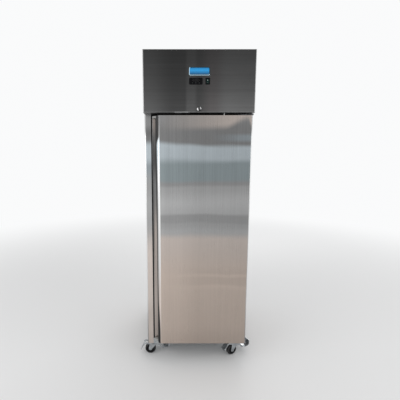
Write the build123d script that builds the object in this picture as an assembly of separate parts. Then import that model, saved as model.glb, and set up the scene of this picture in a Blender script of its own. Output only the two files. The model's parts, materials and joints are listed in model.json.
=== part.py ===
from build123d import *
import os

# Upright storage refrigerator with one solid door, a top mounted machine compartment
# and four swivel castors. Millimetres throughout. X runs to the right as seen from the
# front, the front faces -Y, Z is up and the floor is at zero.

# Cabinet
cabinet_width = 680.0
cabinet_depth = 718.0
side_wall = 68.0
back_wall = 60.0
floor_wall = 68.0
roof_wall = 60.0
chamber_height = 1461.0
compartment_height = 341.0
sheet = 1.0
liner_sheet = 0.8
post_width = 40.0
breaker_depth = 3.0
back_lip = 22.0
post_edge_radius = 8.0
louvre_depth = 10.0

# Door
door_thickness = 66.0
seal_gap = 6.0
door_lap_left = 17.0
door_lap_right = 56.0
door_lap_bottom = 21.0
door_lap_top = 21.0
handle_width = 25.0
handle_depth = 52.0
handle_lip_depth = 30.0
handle_undercut = 40.0
handle_roll_radius = 24.0
handle_lip_radius = 5.0
handle_hook_radius = 1.5
handle_floor_radius = 3.0
handle_cap_height = 12.0
handle_cap_side = 8.0
door_edge_radius = 8.0
dyke_inset = 8.0
dyke_entry = 8.0
dyke_radius = 12.0
gasket_width = 14.0
gasket_inset = 2.0
gasket_clearance = 0.3
dart_width = 4.0
dart_depth = 5.0
groove_clearance = 0.2

# Hinge
hinge_inset_x = 18.0
hinge_inset_y = 25.0
pin_radius = 6.0
bush_wall = 3.0
bush_depth = 24.0
bush_head = 2.0
hinge_plate = 5.0
hinge_leaf = 3.0
hinge_leaf_height = 44.0
hinge_plate_width = 96.0
hinge_gap = 3.0
hinge_nose = 12.0
hinge_root = 20.0
hinge_flank = 20.0
hinge_bevel = 8.0
hinge_bolt_radius = 8.0
hinge_bolt_height = 3.0
pin_end_gap = 2.0
running_clearance = 0.05

# Fascia and what is on it
fascia_gap = 16.0
front_proud = 4.0
fascia_tab = 26.0
fascia_edge_radius = 6.0
badge_width = 124.0
badge_height = 47.0
badge_centre_z = 1914.0
badge_rim = 4.0
badge_rim_proud = 3.0
badge_plate_proud = 2.0
badge_radius = 8.0
controller_width = 80.0
controller_height = 38.0
controller_x = -21.0
controls_z = 1858.0
controller_proud = 3.2
controller_radius = 5.0
controller_case_width = 70.0
controller_case_height = 30.0
controller_case_depth = 52.0
window_width = 44.0
window_height = 17.0
window_recess = 1.6
window_thickness = 1.2
window_rise = 5.5
window_radius = 1.5
key_width = 12.0
key_height = 5.5
key_pitch = 20.0
key_drop = 11.5
key_proud = 0.6
key_length = 5.0
key_travel = 0.6
key_clearance = 0.3
key_edge_radius = 0.5
rocker_frame_width = 27.0
rocker_frame_height = 38.0
rocker_x = 50.0
rocker_frame_proud = 2.0
rocker_body_depth = 30.0
rocker_width = 17.0
rocker_half_height = 13.0
rocker_tilt = 8.0
rocker_clearance = 1.6
rocker_pivot_depth = 3.0
rocker_frame_radius = 2.0
rocker_body_inset = 2.0
rocker_well_depth = 14.0
rocker_side_clearance = 0.5
rocker_pin_radius = 1.5
rocker_crest = 4.0
rocker_dip = 2.4
rocker_keel = 6.5
rocker_keel_half = 5.0
rocker_edge = 1.0
lock_centre_rise = 22.0
lock_ring_radius = 13.0
lock_barrel_radius = 9.5
lock_barrel_length = 24.0
lock_plug_radius = 6.5
lock_nut_radius = 14.0
lock_nut_thickness = 4.0
lock_ring_edge = 1.5
lock_plug_recess = 0.8
cam_reach = 46.0
cam_width = 13.0
cam_thickness = 3.0
cam_clearance = 2.0
keyway_width = 2.0
keyway_height = 9.0
keyway_depth = 16.0
cam_square = 7.0
cam_nut_radius = 5.5
cam_nut_height = 4.0
switch_x = 158.0
switch_y_inset = 34.0
switch_body_width = 22.0
switch_body_depth = 14.0
switch_body_height = 30.0
plunger_radius = 3.5
plunger_travel = 3.0
plunger_clearance = 0.1
plunger_hole_clearance = 0.5
plunger_engagement = 11.0
plunger_headroom = 1.0
plunger_tip_radius = 1.5

# Machine compartment
deck_lip = 20.0
air_slot_length = 220.0
air_slot_width = 7.0
air_slot_rows = 9
air_slot_pitch = 26.25
air_slot_back_gap = 100.0
air_field_x = 190.0
louvre_rows = 9
louvre_pitch = 23.0
louvre_foot = 105.0
louvre_slot_height = 12.0
louvre_hood_height = 14.0
louvre_hood_sheet = 1.5
louvre_fields = [(-200.0, 30.0), (70.0, 300.0)]
grille_screw_inset = 30.0
fascia_screw_inset = 50.0
gland_hex = 19.0
gland_bore_radius = 4.6
gland_barrel_radius = 7.9
gland_collar_radius = 8.5
gland_flange = 5.0
gland_nut = 4.0
gland_barrel_length = 14.0
gland_x = -255.0
gland_rise = 60.0
tray_thickness = 1.5
tray_lip = 14.0
tray_width = 560.0
tray_depth = 330.0
tray_back_gap = 16.0
condenser_x = -110.0
condenser_width = 300.0
condenser_height = 262.0
condenser_depth = 52.0
condenser_rise = 14.0
condenser_back_gap = 34.0
condenser_fins = 44
condenser_plate = 2.0
condenser_plate_lap = 6.0
condenser_tube_inset = 18.0
fin_thickness = 1.0
fin_web = 2.0
tube_radius = 4.8
tube_rows = 8
shroud_gap = 14.0
shroud_sheet = 1.5
throat_depth = 12.0
condenser_fan_radius = 112.0
condenser_hub_radius = 24.0
condenser_hub_depth = 26.0
condenser_fan_gap = 8.0
fan_tip_clearance = 6.0
fan_blades_count = 5
blade_tip_angle = 24.0
blade_root_angle = 42.0
blade_root_thickness = 2.0
blade_tip_thickness = 1.6
blade_root_share = 0.42
blade_tip_share = 0.56
blade_rounding = 0.45
blade_bite = 3.0
motor_edge_radius = 6.0
condenser_motor_radius = 40.0
condenser_motor_length = 46.0
condenser_motor_gap = 34.0
condenser_shaft_radius = 3.0
strap_width = 18.0
strap_thickness = 3.0
strap_setback = 17.0
strap_reach = 6.0
shaft_past_hub = 4.0
compressor_x = 178.0
compressor_y = 150.0
compressor_radius = 84.0
compressor_height = 178.0
compressor_foot_height = 14.0
compressor_plate_thickness = 3.0
compressor_plate_half_x = 98.0
compressor_plate_half_y = 62.0
compressor_foot_radius = 11.0
compressor_foot_x = 84.0
compressor_foot_y = 48.0
compressor_seam = 3.0
terminal_box_reach = 26.0
terminal_box_bite = 12.0
terminal_box_half_width = 30.0
terminal_box_rise = 50.0
terminal_box_height = 68.0
stub_wall = 1.6
suction_stub_rise = 128.0
suction_stub_length = 18.0
discharge_stub_offset = 40.0
discharge_stub_length = 14.0
electrical_box_width = 120.0
electrical_box_depth = 150.0
electrical_box_height = 92.0
electrical_box_side_gap = 8.0
electrical_box_front_gap = 100.0
electrical_box_radius = 6.0
electrical_lid_lap = 2.0
electrical_lid_height = 22.0
chase_x = 150.0
chase_y = -60.0
chase_radius = 14.0
pipe_radius = 4.8
capillary_radius = 3.2
joint_gap = 0.3
pipe_bend = 24.0
pipe_swan_neck = 46.0
pipe_swan_bend = 20.0
discharge_bend = 14.0
pipe_drop = 40.0
drier_radius = 9.0
drier_length = 52.0
drier_gap = 28.0

# Evaporator
evaporator_width = 450.0
evaporator_height = 172.0
evaporator_front_gap = 160.0
evaporator_depth = 420.0
evaporator_sheet = 1.2
evaporator_slope = 46.0
evaporator_bevel = 14.0
evaporator_slot_length = 100.0
evaporator_slot_width = 6.0
evaporator_slot_columns = 3
evaporator_slot_rows = 8
evaporator_slot_side_inset = 45.0
evaporator_slot_front_gap = 240.0
evaporator_slot_back_gap = 22.0
evaporator_fan_radius = 66.0
evaporator_hub_radius = 17.0
evaporator_hub_depth = 20.0
evaporator_fan_setback = 24.0
evaporator_shaft_radius = 2.5
evaporator_shaft_nose = 6.0
evaporator_motor_gap = 18.0
evaporator_motor_radius = 30.0
evaporator_motor_length = 40.0
motor_arm_width = 10.0
motor_arm_thickness = 3.0
motor_arm_start = 24.0
motor_arm_setback = 14.0
motor_arm_reach = 5.0
motor_arm_turns = [0.0, 120.0, 240.0]
guard_gap = 5.0
guard_wire_radius = 1.2
guard_rings = 6
guard_inner_radius = 16.0
guard_lap = 6.0
guard_spoke_width = 3.0
guard_spoke_thickness = 2.0
guard_foot = 5.0
guard_spoke_turns = [45.0, 135.0, 225.0, 315.0]
coil_width = 380.0
coil_height = 112.0
coil_depth = 150.0
coil_setback = 120.0
coil_roof_gap = 20.0
coil_plate = 1.5
coil_tube_inset = 14.0
coil_row_inset = 35.0
coil_fins = 38
coil_tube_rows = 4

# Interior
pilaster_width = 22.0
pilaster_depth = 9.0
pilaster_sheet = 1.2
pilaster_front_gap = 62.0
pilaster_back_gap = 88.0
pilaster_foot = 46.0
pilaster_length = 1240.0
slot_pitch = 40.0
slot_height = 14.0
slot_width = 7.0
shelf_heights = [470.0, 830.0, 1190.0]
shelf_depth = 570.0
shelf_front_gap = 34.0
shelf_side_clearance = 4.0
shelf_rim_radius = 3.5
shelf_wire_radius = 2.0
shelf_wires = 19
shelf_cross_bars = 3
shelf_bar_radius = 2.8
shelf_corner = 14.0
shelf_wire_drop = 0.4
clip_reach = 15.0
clip_width = 18.0
clip_thickness = 2.0
clip_height = 24.0
clip_gap = 0.2
lamp_length = 420.0
lamp_width = 26.0
lamp_height = 14.0
lamp_front_gap = 52.0
lamp_edge_radius = 5.0

# Castors
caster_height = 110.0
caster_inset_x = 50.0
caster_front_inset = 58.0
caster_back_inset = 78.0
caster_plate_length = 94.0
caster_plate_width = 74.0
caster_plate_thickness = 3.0
caster_plate_radius = 8.0
caster_bolt_spacing_x = 74.0
caster_bolt_spacing_y = 54.0
caster_bolt_hole_radius = 4.4
raceway_radius = 23.0
raceway_height = 6.0
kingpin_radius = 5.0
kingpin_head_radius = 9.0
kingpin_head_height = 1.8
kingpin_gap = 0.3
crown_thickness = 4.0
wheel_radius = 37.5
wheel_width = 25.0
wheel_hub_gap = 1.5
fork_leg = 2.5
trail = 37.0
axle_radius = 4.0
axle_head_radius = 7.0
axle_head_height = 4.0
hub_radius = 10.0
hub_side_gap = 0.3
web_recess = 4.0
tread_height = 11.0
tread_shoulder = 5.0
tread_chamfer = 3.0
tread_side = 9.0
leg_foot_radius = 12.0
leg_foot_rise = 4.0
leg_front_u = -4.0
leg_front_z = 62.0
leg_top_z = 84.0
pedal_plate = 3.0
pedal_arm = 10.0
pedal_arm_thickness = 2.5
pedal_side_gap = 0.4
pedal_pivot_back = 8.0
pedal_pivot_z = 72.0
pedal_pin_radius = 3.0
pedal_throw = 12.0
pedal_back_reach = 109.6
pedal_front_reach = 102.0
pedal_toe_width = 54.0
pedal_heel_width = 40.0
pedal_washer = 1.2
pedal_washer_lap = 2.0
pedal_pin_bite = 1.0
pedal_back_z = 54.0
pedal_knee = (-74.0, 98.0)
pedal_shoulder = (-34.0, 84.0)
pedal_front_knee = (24.0, 64.0)
pedal_shin = (44.0, 43.0)
pedal_sole_z = 41.0
pedal_toe_root = 12.0
pedal_toe_z = 52.0
pedal_toe_top = 80.0
pedal_bends = [12.0, 14.0, 20.0, 12.0, 12.0, 6.0, 5.0]
pedal_arm_back = -84.0
pedal_arm_front = 62.0
pedal_toe_back = -70.0
pedal_toe_front = 50.0
front_left_yaw = 0.0
front_right_yaw = 26.0
back_left_yaw = 205.0
back_right_yaw = -38.0

# Fasteners
screw_radius = 2.0
screw_head_radius = 4.2
screw_head_height = 2.4
screw_length = 8.0
screw_hole_clearance = 0.1
bolt_head_radius = 6.5
bolt_head_height = 5.0
bolt_clearance = 0.2

# Levels and planes that follow from the sizes above
half_width = cabinet_width / 2
overall_depth = front_proud + door_thickness + seal_gap + cabinet_depth + louvre_depth
face_y = front_proud - overall_depth / 2
door_back_y = face_y + door_thickness
plane_y = door_back_y + seal_gap
back_y = plane_y + cabinet_depth
base_z = caster_height
chamber_z0 = base_z + floor_wall
chamber_z1 = chamber_z0 + chamber_height
deck_z = chamber_z1 + roof_wall
top_z = deck_z + compartment_height
chamber_x = half_width - side_wall
chamber_back_y = back_y - back_wall
door_x0 = -chamber_x - door_lap_left
door_x1 = chamber_x + door_lap_right
door_z0 = chamber_z0 - door_lap_bottom
door_z1 = chamber_z1 + door_lap_top
handle_x = door_x0 + handle_width
fascia_z0 = door_z1 + fascia_gap
hinge_x = door_x1 - hinge_inset_x
hinge_y = face_y + hinge_inset_y
post_x = half_width - post_width
frame_lap = post_x - chamber_x
lock_z = fascia_z0 + lock_centre_rise
cam_y0 = face_y + lock_barrel_length + lock_nut_thickness
cam_y1 = cam_y0 + cam_thickness
tray_y1 = back_y - tray_back_gap
tray_y0 = tray_y1 - tray_depth
condenser_y1 = back_y - condenser_back_gap
condenser_y0 = condenser_y1 - condenser_depth
shroud_y = condenser_y0 - shroud_gap
condenser_z0 = deck_z + condenser_rise
condenser_z = condenser_z0 + condenser_height / 2
evaporator_y0 = plane_y + evaporator_front_gap
evaporator_y1 = evaporator_y0 + evaporator_depth
evaporator_z0 = chamber_z1 - evaporator_height
evaporator_fan_z = evaporator_z0 + evaporator_height / 2
pilaster_x = chamber_x - pilaster_depth
shelf_half_width = pilaster_x - shelf_side_clearance
shelf_y0 = plane_y + shelf_front_gap
shelf_y1 = shelf_y0 + shelf_depth


# Helpers

def block(x0, x1, y0, y1, z0, z1):
    """A box between two opposite corners."""
    box = Box(x1 - x0, y1 - y0, z1 - z0)
    return Pos((x0 + x1) / 2, (y0 + y1) / 2, (z0 + z1) / 2) * box


def rod(start, end, radius):
    """A round bar from one point to another."""
    along = Vector(end) - Vector(start)
    bar = Cylinder(radius, along.length, align=(Align.CENTER, Align.CENTER, Align.MIN))
    return Plane(origin=start, z_dir=along) * bar


def tube(start, end, radius, bore):
    """A round bar with a hole through it."""
    return rod(start, end, radius) - rod(start, end, bore)


def plate_xz(x, z, width, height, radius, y0, y1):
    """A plate with round corners that faces along Y."""
    outline = RectangleRounded(width, height, radius)
    face = Plane(origin=(x, y1, z), x_dir=(1, 0, 0), z_dir=(0, -1, 0)) * outline
    return extrude(face, y1 - y0)


def profile_yz(points, x0, x1):
    """A closed outline of (y, z) points, drawn out along X."""
    outline = make_face(Polyline([(x0, y, z) for y, z in points], close=True))
    return extrude(outline, x1 - x0, dir=(1, 0, 0))


def profile_xz(points, y0, y1):
    """A closed outline of (x, z) points, drawn out along Y."""
    outline = make_face(Polyline([(x, y0, z) for x, z in points], close=True))
    return extrude(outline, y1 - y0, dir=(0, 1, 0))


def pipe(points, bends, radius):
    """A round pipe along straight runs with a bend at each corner."""
    path = FilletPolyline(points, radius=bends)
    section = Plane(origin=path @ 0, z_dir=path % 0) * Circle(radius)
    return sweep(section, path=path)


def spaced(first, last, count):
    """Evenly spaced values from first to last."""
    return [first + (last - first) * i / (count - 1) for i in range(count)]


def group(solids):
    """Separate solids that share one node."""
    return Compound(children=[s for part in solids for s in part.solids()])


# Cabinet

def side_panel(side):
    """One outer side sheet with the front post face folded in and a lip at the back."""
    fold_x = -half_width + post_edge_radius
    fold_y = plane_y + post_edge_radius
    high = top_z - sheet
    outer = block(-half_width, -half_width + sheet, fold_y, back_y, base_z, top_z)
    fold = tube((fold_x, fold_y, base_z), (fold_x, fold_y, high), post_edge_radius,
                post_edge_radius - sheet)
    fold &= block(-half_width, fold_x, plane_y, fold_y, base_z, high)
    face = block(fold_x, -post_x, plane_y, plane_y + sheet, base_z, high)
    lip_y = back_y - sheet
    lip = block(-half_width, -half_width + back_lip, lip_y - sheet, lip_y, deck_z, high)
    panel = outer + fold + face + lip
    for z in fascia_screw_heights():
        x = half_width - fascia_tab / 2 - sheet
        panel -= rod((-x, plane_y, z), (-x, plane_y + sheet, z), screw_radius + screw_hole_clearance)
    for z in grille_screw_heights():
        x = half_width - back_lip / 2
        panel -= rod((-x, lip_y - sheet, z), (-x, lip_y, z), screw_radius + screw_hole_clearance)
    if side > 0:
        panel = mirror(panel, about=Plane.YZ)
    return panel


def level_sheet(z0):
    """A level sheet between the side panels, its front corners rounded to fit their folds."""
    inner_x = half_width - sheet
    plate = block(-inner_x, inner_x, plane_y + sheet, back_y - sheet, z0, z0 + sheet)
    corners = plate.edges().filter_by(Axis.Z).sort_by(Axis.Y)[:2]
    return fillet(corners, post_edge_radius - sheet)


def base_panel():
    """Bottom sheet with the sill face folded up in front and the castor bolt holes."""
    sill = block(-post_x, post_x, plane_y, plane_y + sheet, base_z, chamber_z0 - frame_lap)
    panel = level_sheet(base_z) + sill
    for x, y in caster_places():
        for bx, by in caster_bolts():
            hole = rod((x + bx, y + by, base_z), (x + bx, y + by, base_z + sheet), caster_bolt_hole_radius)
            panel -= hole
    return panel


def deck_panel():
    """Sheet over the chamber roof: the floor of the machine compartment."""
    head = block(-post_x, post_x, plane_y, plane_y + sheet, chamber_z1 + frame_lap, deck_z + deck_lip)
    panel = level_sheet(deck_z - sheet) + head
    panel -= chase_cut(deck_z - sheet, deck_z)
    return panel


def chase_cut(z0, z1):
    """The hole that the pipes go through between evaporator and condensing unit."""
    return rod((chase_x, chase_y, z0), (chase_x, chase_y, z1), chase_radius)


def back_panel():
    """Plain sheet behind the insulated chamber."""
    inner_x = half_width - sheet
    return block(-inner_x, inner_x, back_y - sheet, back_y, base_z, deck_z)


def cabinet_foam():
    """Foam slabs of the two sides, the back, the roof and the floor."""
    inner_x = half_width - sheet
    y0 = plane_y + breaker_depth
    y1 = back_y - sheet
    liner_x = chamber_x + liner_sheet
    z0 = base_z + sheet
    z1 = deck_z - sheet
    liner_z0 = chamber_z0 - liner_sheet
    liner_z1 = chamber_z1 + liner_sheet
    liner_y = chamber_back_y + liner_sheet
    left = block(-inner_x, -liner_x, y0, y1, z0, z1)
    left = fillet(left.edges().filter_by(Axis.Z).group_by(Axis.Y)[0].sort_by(Axis.X)[0],
                  post_edge_radius)
    right = mirror(left, about=Plane.YZ)
    back = block(-liner_x, liner_x, liner_y, y1, z0, z1)
    floor = block(-liner_x, liner_x, y0, liner_y, z0, liner_z0)
    roof = block(-liner_x, liner_x, y0, liner_y, liner_z1, z1) - chase_cut(liner_z1, z1)
    return group([left, right, back, floor, roof])


def inner_liner():
    """Stainless chamber lining, open at the front, with a coved floor."""
    grown_x = chamber_x + liner_sheet
    y0 = plane_y + breaker_depth
    outer = block(-grown_x, grown_x, y0, chamber_back_y + liner_sheet,
                  chamber_z0 - liner_sheet, chamber_z1 + liner_sheet)
    inner = block(-chamber_x, chamber_x, y0, chamber_back_y, chamber_z0, chamber_z1)
    return outer - inner - chase_cut(chamber_z1, chamber_z1 + liner_sheet)


def breaker_frame():
    """Plastic heat break around the door opening that the gasket closes on."""
    outer = block(-post_x, post_x, plane_y, plane_y + breaker_depth,
                  chamber_z0 - frame_lap, chamber_z1 + frame_lap)
    inner = block(-chamber_x, chamber_x, plane_y, plane_y + breaker_depth, chamber_z0, chamber_z1)
    return outer - inner


def top_cover():
    """Lid of the machine compartment with two fields of air slots."""
    inner_x = half_width - sheet
    cover = block(-inner_x, inner_x, plane_y, back_y - sheet, top_z - sheet, top_z)
    slots = []
    for x in (-air_field_x, air_field_x):
        for row in range(air_slot_rows):
            y1 = back_y - air_slot_back_gap - row * air_slot_pitch
            slots.append(block(x - air_slot_length / 2, x + air_slot_length / 2,
                               y1 - air_slot_width, y1, top_z - sheet, top_z))
    return cover - slots


def grille_screw_heights():
    return spaced(deck_z + grille_screw_inset, top_z - grille_screw_inset, 3)


def fascia_screw_heights():
    return spaced(deck_z + fascia_screw_inset, top_z - fascia_screw_inset, 3)


def rear_grille():
    """Louvred back of the machine compartment, with the hole for the mains cable."""
    inner_x = half_width - sheet
    y0 = back_y - sheet
    grille = block(-inner_x, inner_x, y0, back_y, deck_z, top_z)
    rows = [deck_z + louvre_foot + row * louvre_pitch for row in range(louvre_rows)]
    grille -= [block(a, b, y0, back_y, z, z + louvre_slot_height)
               for a, b in louvre_fields for z in rows]
    hood = [(y0, louvre_hood_height), (back_y, louvre_hood_height), (back_y + louvre_depth, 0.0),
            (back_y + louvre_depth - sheet, 0.0), (y0, louvre_hood_height - louvre_hood_sheet)]
    grille += [profile_yz([(y, z + up) for y, up in hood], a, b)
               for a, b in louvre_fields for z in rows]
    gland_z = deck_z + gland_rise
    grille -= rod((gland_x, y0, gland_z), (gland_x, back_y, gland_z),
                  gland_barrel_radius + screw_hole_clearance)
    for side in (-1, 1):
        for z in grille_screw_heights():
            x = side * (half_width - back_lip / 2)
            grille -= rod((x, y0, z), (x, back_y, z), screw_radius + screw_hole_clearance)
    return grille


def cable_gland():
    """Gland in the back of the machine compartment that the mains cable comes through."""
    z = deck_z + gland_rise
    outline = RegularPolygon(gland_hex / 2, 6, major_radius=False)
    outer_y = back_y + gland_flange
    inner_y = back_y - gland_barrel_length
    end_y = back_y + louvre_depth
    flange = Plane(origin=(gland_x, outer_y, z), z_dir=(0, -1, 0)) * extrude(outline, gland_flange)
    nut = Plane(origin=(gland_x, back_y - sheet, z), z_dir=(0, -1, 0)) * extrude(outline, gland_nut)
    barrel = rod((gland_x, inner_y, z), (gland_x, outer_y, z), gland_barrel_radius)
    collar = rod((gland_x, outer_y, z), (gland_x, end_y, z), gland_collar_radius)
    gland = barrel + flange + nut + collar
    return gland - rod((gland_x, inner_y, z), (gland_x, end_y, z), gland_bore_radius)


# Fascia

def lock_hole(y0, y1, radius):
    return rod((0, y0, lock_z), (0, y1, lock_z), radius)


def cam_slot(z0, z1):
    """The space that the lock cam swings down through."""
    return block(-cam_width / 2 - cam_clearance, cam_reach, cam_y0 - cam_clearance,
                 cam_y1 + cam_clearance, z0, z1)


def controller_cutout():
    return block(controller_x - controller_case_width / 2, controller_x + controller_case_width / 2,
                 face_y, face_y + sheet,
                 controls_z - controller_case_height / 2, controls_z + controller_case_height / 2)


def rocker_cutout():
    width = rocker_frame_width - 2 * rocker_body_inset
    height = rocker_frame_height - 2 * rocker_body_inset
    return block(rocker_x - width / 2, rocker_x + width / 2, face_y, face_y + sheet,
                 controls_z - height / 2, controls_z + height / 2)


def fascia_panel():
    """Folded front panel of the machine compartment with returns on all four sides."""
    shell = block(-half_width, half_width, face_y, plane_y, fascia_z0, top_z)
    shell = fillet(shell.faces().sort_by(Axis.Y)[0].edges(), fascia_edge_radius)
    hollow = block(-half_width + sheet, half_width - sheet, face_y + sheet, plane_y,
                   fascia_z0 + sheet, top_z - sheet)
    hollow = fillet(hollow.faces().sort_by(Axis.Y)[0].edges(), fascia_edge_radius - sheet)
    panel = shell - hollow
    panel -= block(-post_x, post_x, plane_y - hinge_leaf - sheet, plane_y, fascia_z0, fascia_z0 + sheet)
    for side in (-1, 1):
        inner = side * (half_width - sheet)
        outer = side * (half_width - sheet - fascia_tab)
        tab = block(min(inner, outer), max(inner, outer), plane_y - sheet, plane_y,
                    fascia_z0 + sheet, top_z - sheet)
        for z in fascia_screw_heights():
            x = side * (half_width - fascia_tab / 2 - sheet)
            tab -= rod((x, plane_y - sheet, z), (x, plane_y, z), screw_radius + screw_hole_clearance)
        panel += tab
    panel -= controller_cutout()
    panel -= rocker_cutout()
    panel -= lock_hole(face_y, face_y + sheet, lock_barrel_radius)
    panel -= cam_slot(fascia_z0, fascia_z0 + sheet)
    panel -= plunger_path(fascia_z0, fascia_z0 + sheet, plunger_radius + plunger_hole_clearance)
    return panel


def badge():
    """Plain badge: a bare plate inside a raised rim."""
    rim = plate_xz(0, badge_centre_z, badge_width, badge_height, badge_radius,
                   face_y - badge_rim_proud, face_y)
    inner_width = badge_width - 2 * badge_rim
    inner_height = badge_height - 2 * badge_rim
    inner_radius = badge_radius - badge_rim / 2
    rim -= plate_xz(0, badge_centre_z, inner_width, inner_height, inner_radius,
                    face_y - badge_rim_proud, face_y)
    bare = plate_xz(0, badge_centre_z, inner_width, inner_height, inner_radius,
                    face_y - badge_plate_proud, face_y)
    return group([rim, bare])


def key_places():
    """Centre of each key from left to right."""
    z = controls_z - key_drop
    return [(controller_x + key_pitch * i, z) for i in (-1, 0, 1)]


def controller_case():
    """Electronic controller: bezel on the fascia and the case behind it."""
    front = face_y - controller_proud
    bezel = plate_xz(controller_x, controls_z, controller_width, controller_height,
                     controller_radius, front, face_y)
    case = block(controller_x - controller_case_width / 2, controller_x + controller_case_width / 2,
                 face_y, face_y + controller_case_depth,
                 controls_z - controller_case_height / 2, controls_z + controller_case_height / 2)
    body = bezel + case
    body -= plate_xz(controller_x, controls_z + window_rise, window_width, window_height,
                     window_radius, front, front + window_recess)
    for x, z in key_places():
        half_w = key_width / 2 + key_clearance
        half_h = key_height / 2 + key_clearance
        depth = key_length + key_travel + key_clearance
        body -= block(x - half_w, x + half_w, front, front + depth, z - half_h, z + half_h)
    return body


def display_window():
    """Clear window over the digits."""
    front = face_y - controller_proud
    back = front + window_recess
    return plate_xz(controller_x, controls_z + window_rise, window_width, window_height,
                    window_radius, back - window_thickness, back)


def key(index):
    """One sprung key of the controller."""
    x, z = key_places()[index]
    front = face_y - controller_proud - key_proud
    cap = block(x - key_width / 2, x + key_width / 2, front, front + key_proud + key_length,
                z - key_height / 2, z + key_height / 2)
    return fillet(cap.faces().sort_by(Axis.Y)[0].edges(), key_edge_radius)


def rocker_frame():
    """Switch housing: a bezel and a body with a well for the rocker."""
    bezel = plate_xz(rocker_x, controls_z, rocker_frame_width, rocker_frame_height,
                     rocker_frame_radius, face_y - rocker_frame_proud, face_y)
    width = rocker_frame_width - 2 * rocker_body_inset
    height = rocker_frame_height - 2 * rocker_body_inset
    body = block(rocker_x - width / 2, rocker_x + width / 2, face_y, face_y + rocker_body_depth,
                 controls_z - height / 2, controls_z + height / 2)
    half_w = rocker_width / 2 + rocker_side_clearance
    half_h = rocker_half_height + rocker_clearance
    well = block(rocker_x - half_w, rocker_x + half_w, face_y - rocker_frame_proud,
                 face_y + rocker_well_depth, controls_z - half_h, controls_z + half_h)
    pivot_y = face_y + rocker_pivot_depth
    pin = rod((rocker_x - half_w, pivot_y, controls_z), (rocker_x + half_w, pivot_y, controls_z),
              rocker_pin_radius)
    return bezel + body - well + pin


def rocker():
    """The rocker itself, resting with its lower half pressed in."""
    pivot_y = face_y + rocker_pivot_depth
    h = rocker_half_height
    outline = [(-rocker_crest, h), (-rocker_dip, 0.0), (-rocker_crest, -h), (rocker_edge, -h),
               (rocker_keel, -rocker_keel_half), (rocker_keel, rocker_keel_half), (rocker_edge, h)]
    points = [(pivot_y + y, controls_z + z) for y, z in outline]
    body = profile_yz(points, rocker_x - rocker_width / 2, rocker_x + rocker_width / 2)
    bore = rod((rocker_x - rocker_width / 2, pivot_y, controls_z),
               (rocker_x + rocker_width / 2, pivot_y, controls_z),
               rocker_pin_radius + running_clearance)
    body -= bore
    pivot = Axis((rocker_x, pivot_y, controls_z), (1, 0, 0))
    return body.rotate(pivot, rocker_tilt)


def lock_housing():
    """Round lock body: ring on the fascia, threaded barrel and nut behind."""
    ring = lock_hole(face_y - front_proud, face_y, lock_ring_radius)
    ring = fillet(ring.edges().filter_by(GeomType.CIRCLE).sort_by(Axis.Y)[0], lock_ring_edge)
    barrel = lock_hole(face_y, face_y + lock_barrel_length, lock_barrel_radius)
    outline = RegularPolygon(lock_nut_radius, 6)
    nut_plane = Plane(origin=(0, face_y + sheet + lock_nut_thickness, lock_z), z_dir=(0, -1, 0))
    nut = nut_plane * extrude(outline, lock_nut_thickness)
    bore = lock_hole(face_y - front_proud, face_y + lock_barrel_length,
                     lock_plug_radius + running_clearance)
    return ring + barrel + nut - bore


def cam_square_hole():
    """The square that drives the cam."""
    half = cam_square / 2
    return block(-half, half, cam_y0, cam_y1, lock_z - half, lock_z + half)


def lock_plug():
    """Turning core of the lock with its key slot, and the square that carries the cam."""
    front = face_y - front_proud + lock_plug_recess
    core = lock_hole(front, cam_y0, lock_plug_radius)
    core -= block(-keyway_width / 2, keyway_width / 2, front, front + keyway_depth,
                  lock_z - keyway_height / 2, lock_z + keyway_height / 2)
    core += cam_square_hole()
    core += lock_hole(cam_y1, cam_y1 + cam_nut_height, cam_nut_radius)
    return core


def lock_cam():
    """Flat cam that swings down behind the fascia into the top of the door."""
    arm = block(0, cam_reach - cam_width / 2, cam_y0, cam_y1,
                lock_z - cam_width / 2, lock_z + cam_width / 2)
    arm += lock_hole(cam_y0, cam_y1, cam_width / 2)
    arm += rod((cam_reach - cam_width / 2, cam_y0, lock_z),
               (cam_reach - cam_width / 2, cam_y1, lock_z), cam_width / 2)
    arm -= cam_square_hole()
    return arm


def plunger_path(z0, z1, radius):
    y = face_y + switch_y_inset
    return rod((switch_x, y, z0), (switch_x, y, z1), radius)


def door_switch():
    """Switch body on the lower return of the fascia, above the door."""
    y = face_y + switch_y_inset
    z0 = fascia_z0 + sheet
    body = block(switch_x - switch_body_width / 2, switch_x + switch_body_width / 2,
                 y - switch_body_depth / 2, y + switch_body_depth / 2, z0, z0 + switch_body_height)
    well = plunger_engagement + plunger_headroom + plunger_travel
    return body - plunger_path(z0, z0 + well, plunger_radius + plunger_clearance)


def switch_plunger():
    """Plunger that the closed door holds up."""
    top = fascia_z0 + sheet + plunger_engagement
    stem = plunger_path(door_z1 + gasket_clearance, top, plunger_radius)
    tip = stem.edges().filter_by(GeomType.CIRCLE).sort_by(Axis.Z)[0]
    return fillet(tip, plunger_tip_radius)


# Condensing unit

def unit_tray():
    """Tray that carries the compressor and the condenser."""
    tray = block(-tray_width / 2, tray_width / 2, tray_y0, tray_y1, deck_z, deck_z + tray_thickness)
    front = block(-tray_width / 2, tray_width / 2, tray_y0, tray_y0 + tray_thickness,
                  deck_z, deck_z + tray_lip)
    return tray + front


def fin_comb(x0, x1, y0, y1, z0, z1, count):
    """Upright fins side by side on a thin web that stands for the tube rows."""
    middle = (y0 + y1) / 2
    web = block(x0, x1, middle - fin_web / 2, middle + fin_web / 2, z0, z1)
    fins = [block(x, x + fin_thickness, y0, y1, z0, z1)
            for x in spaced(x0, x1 - fin_thickness, count)]
    return web + fins


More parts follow.
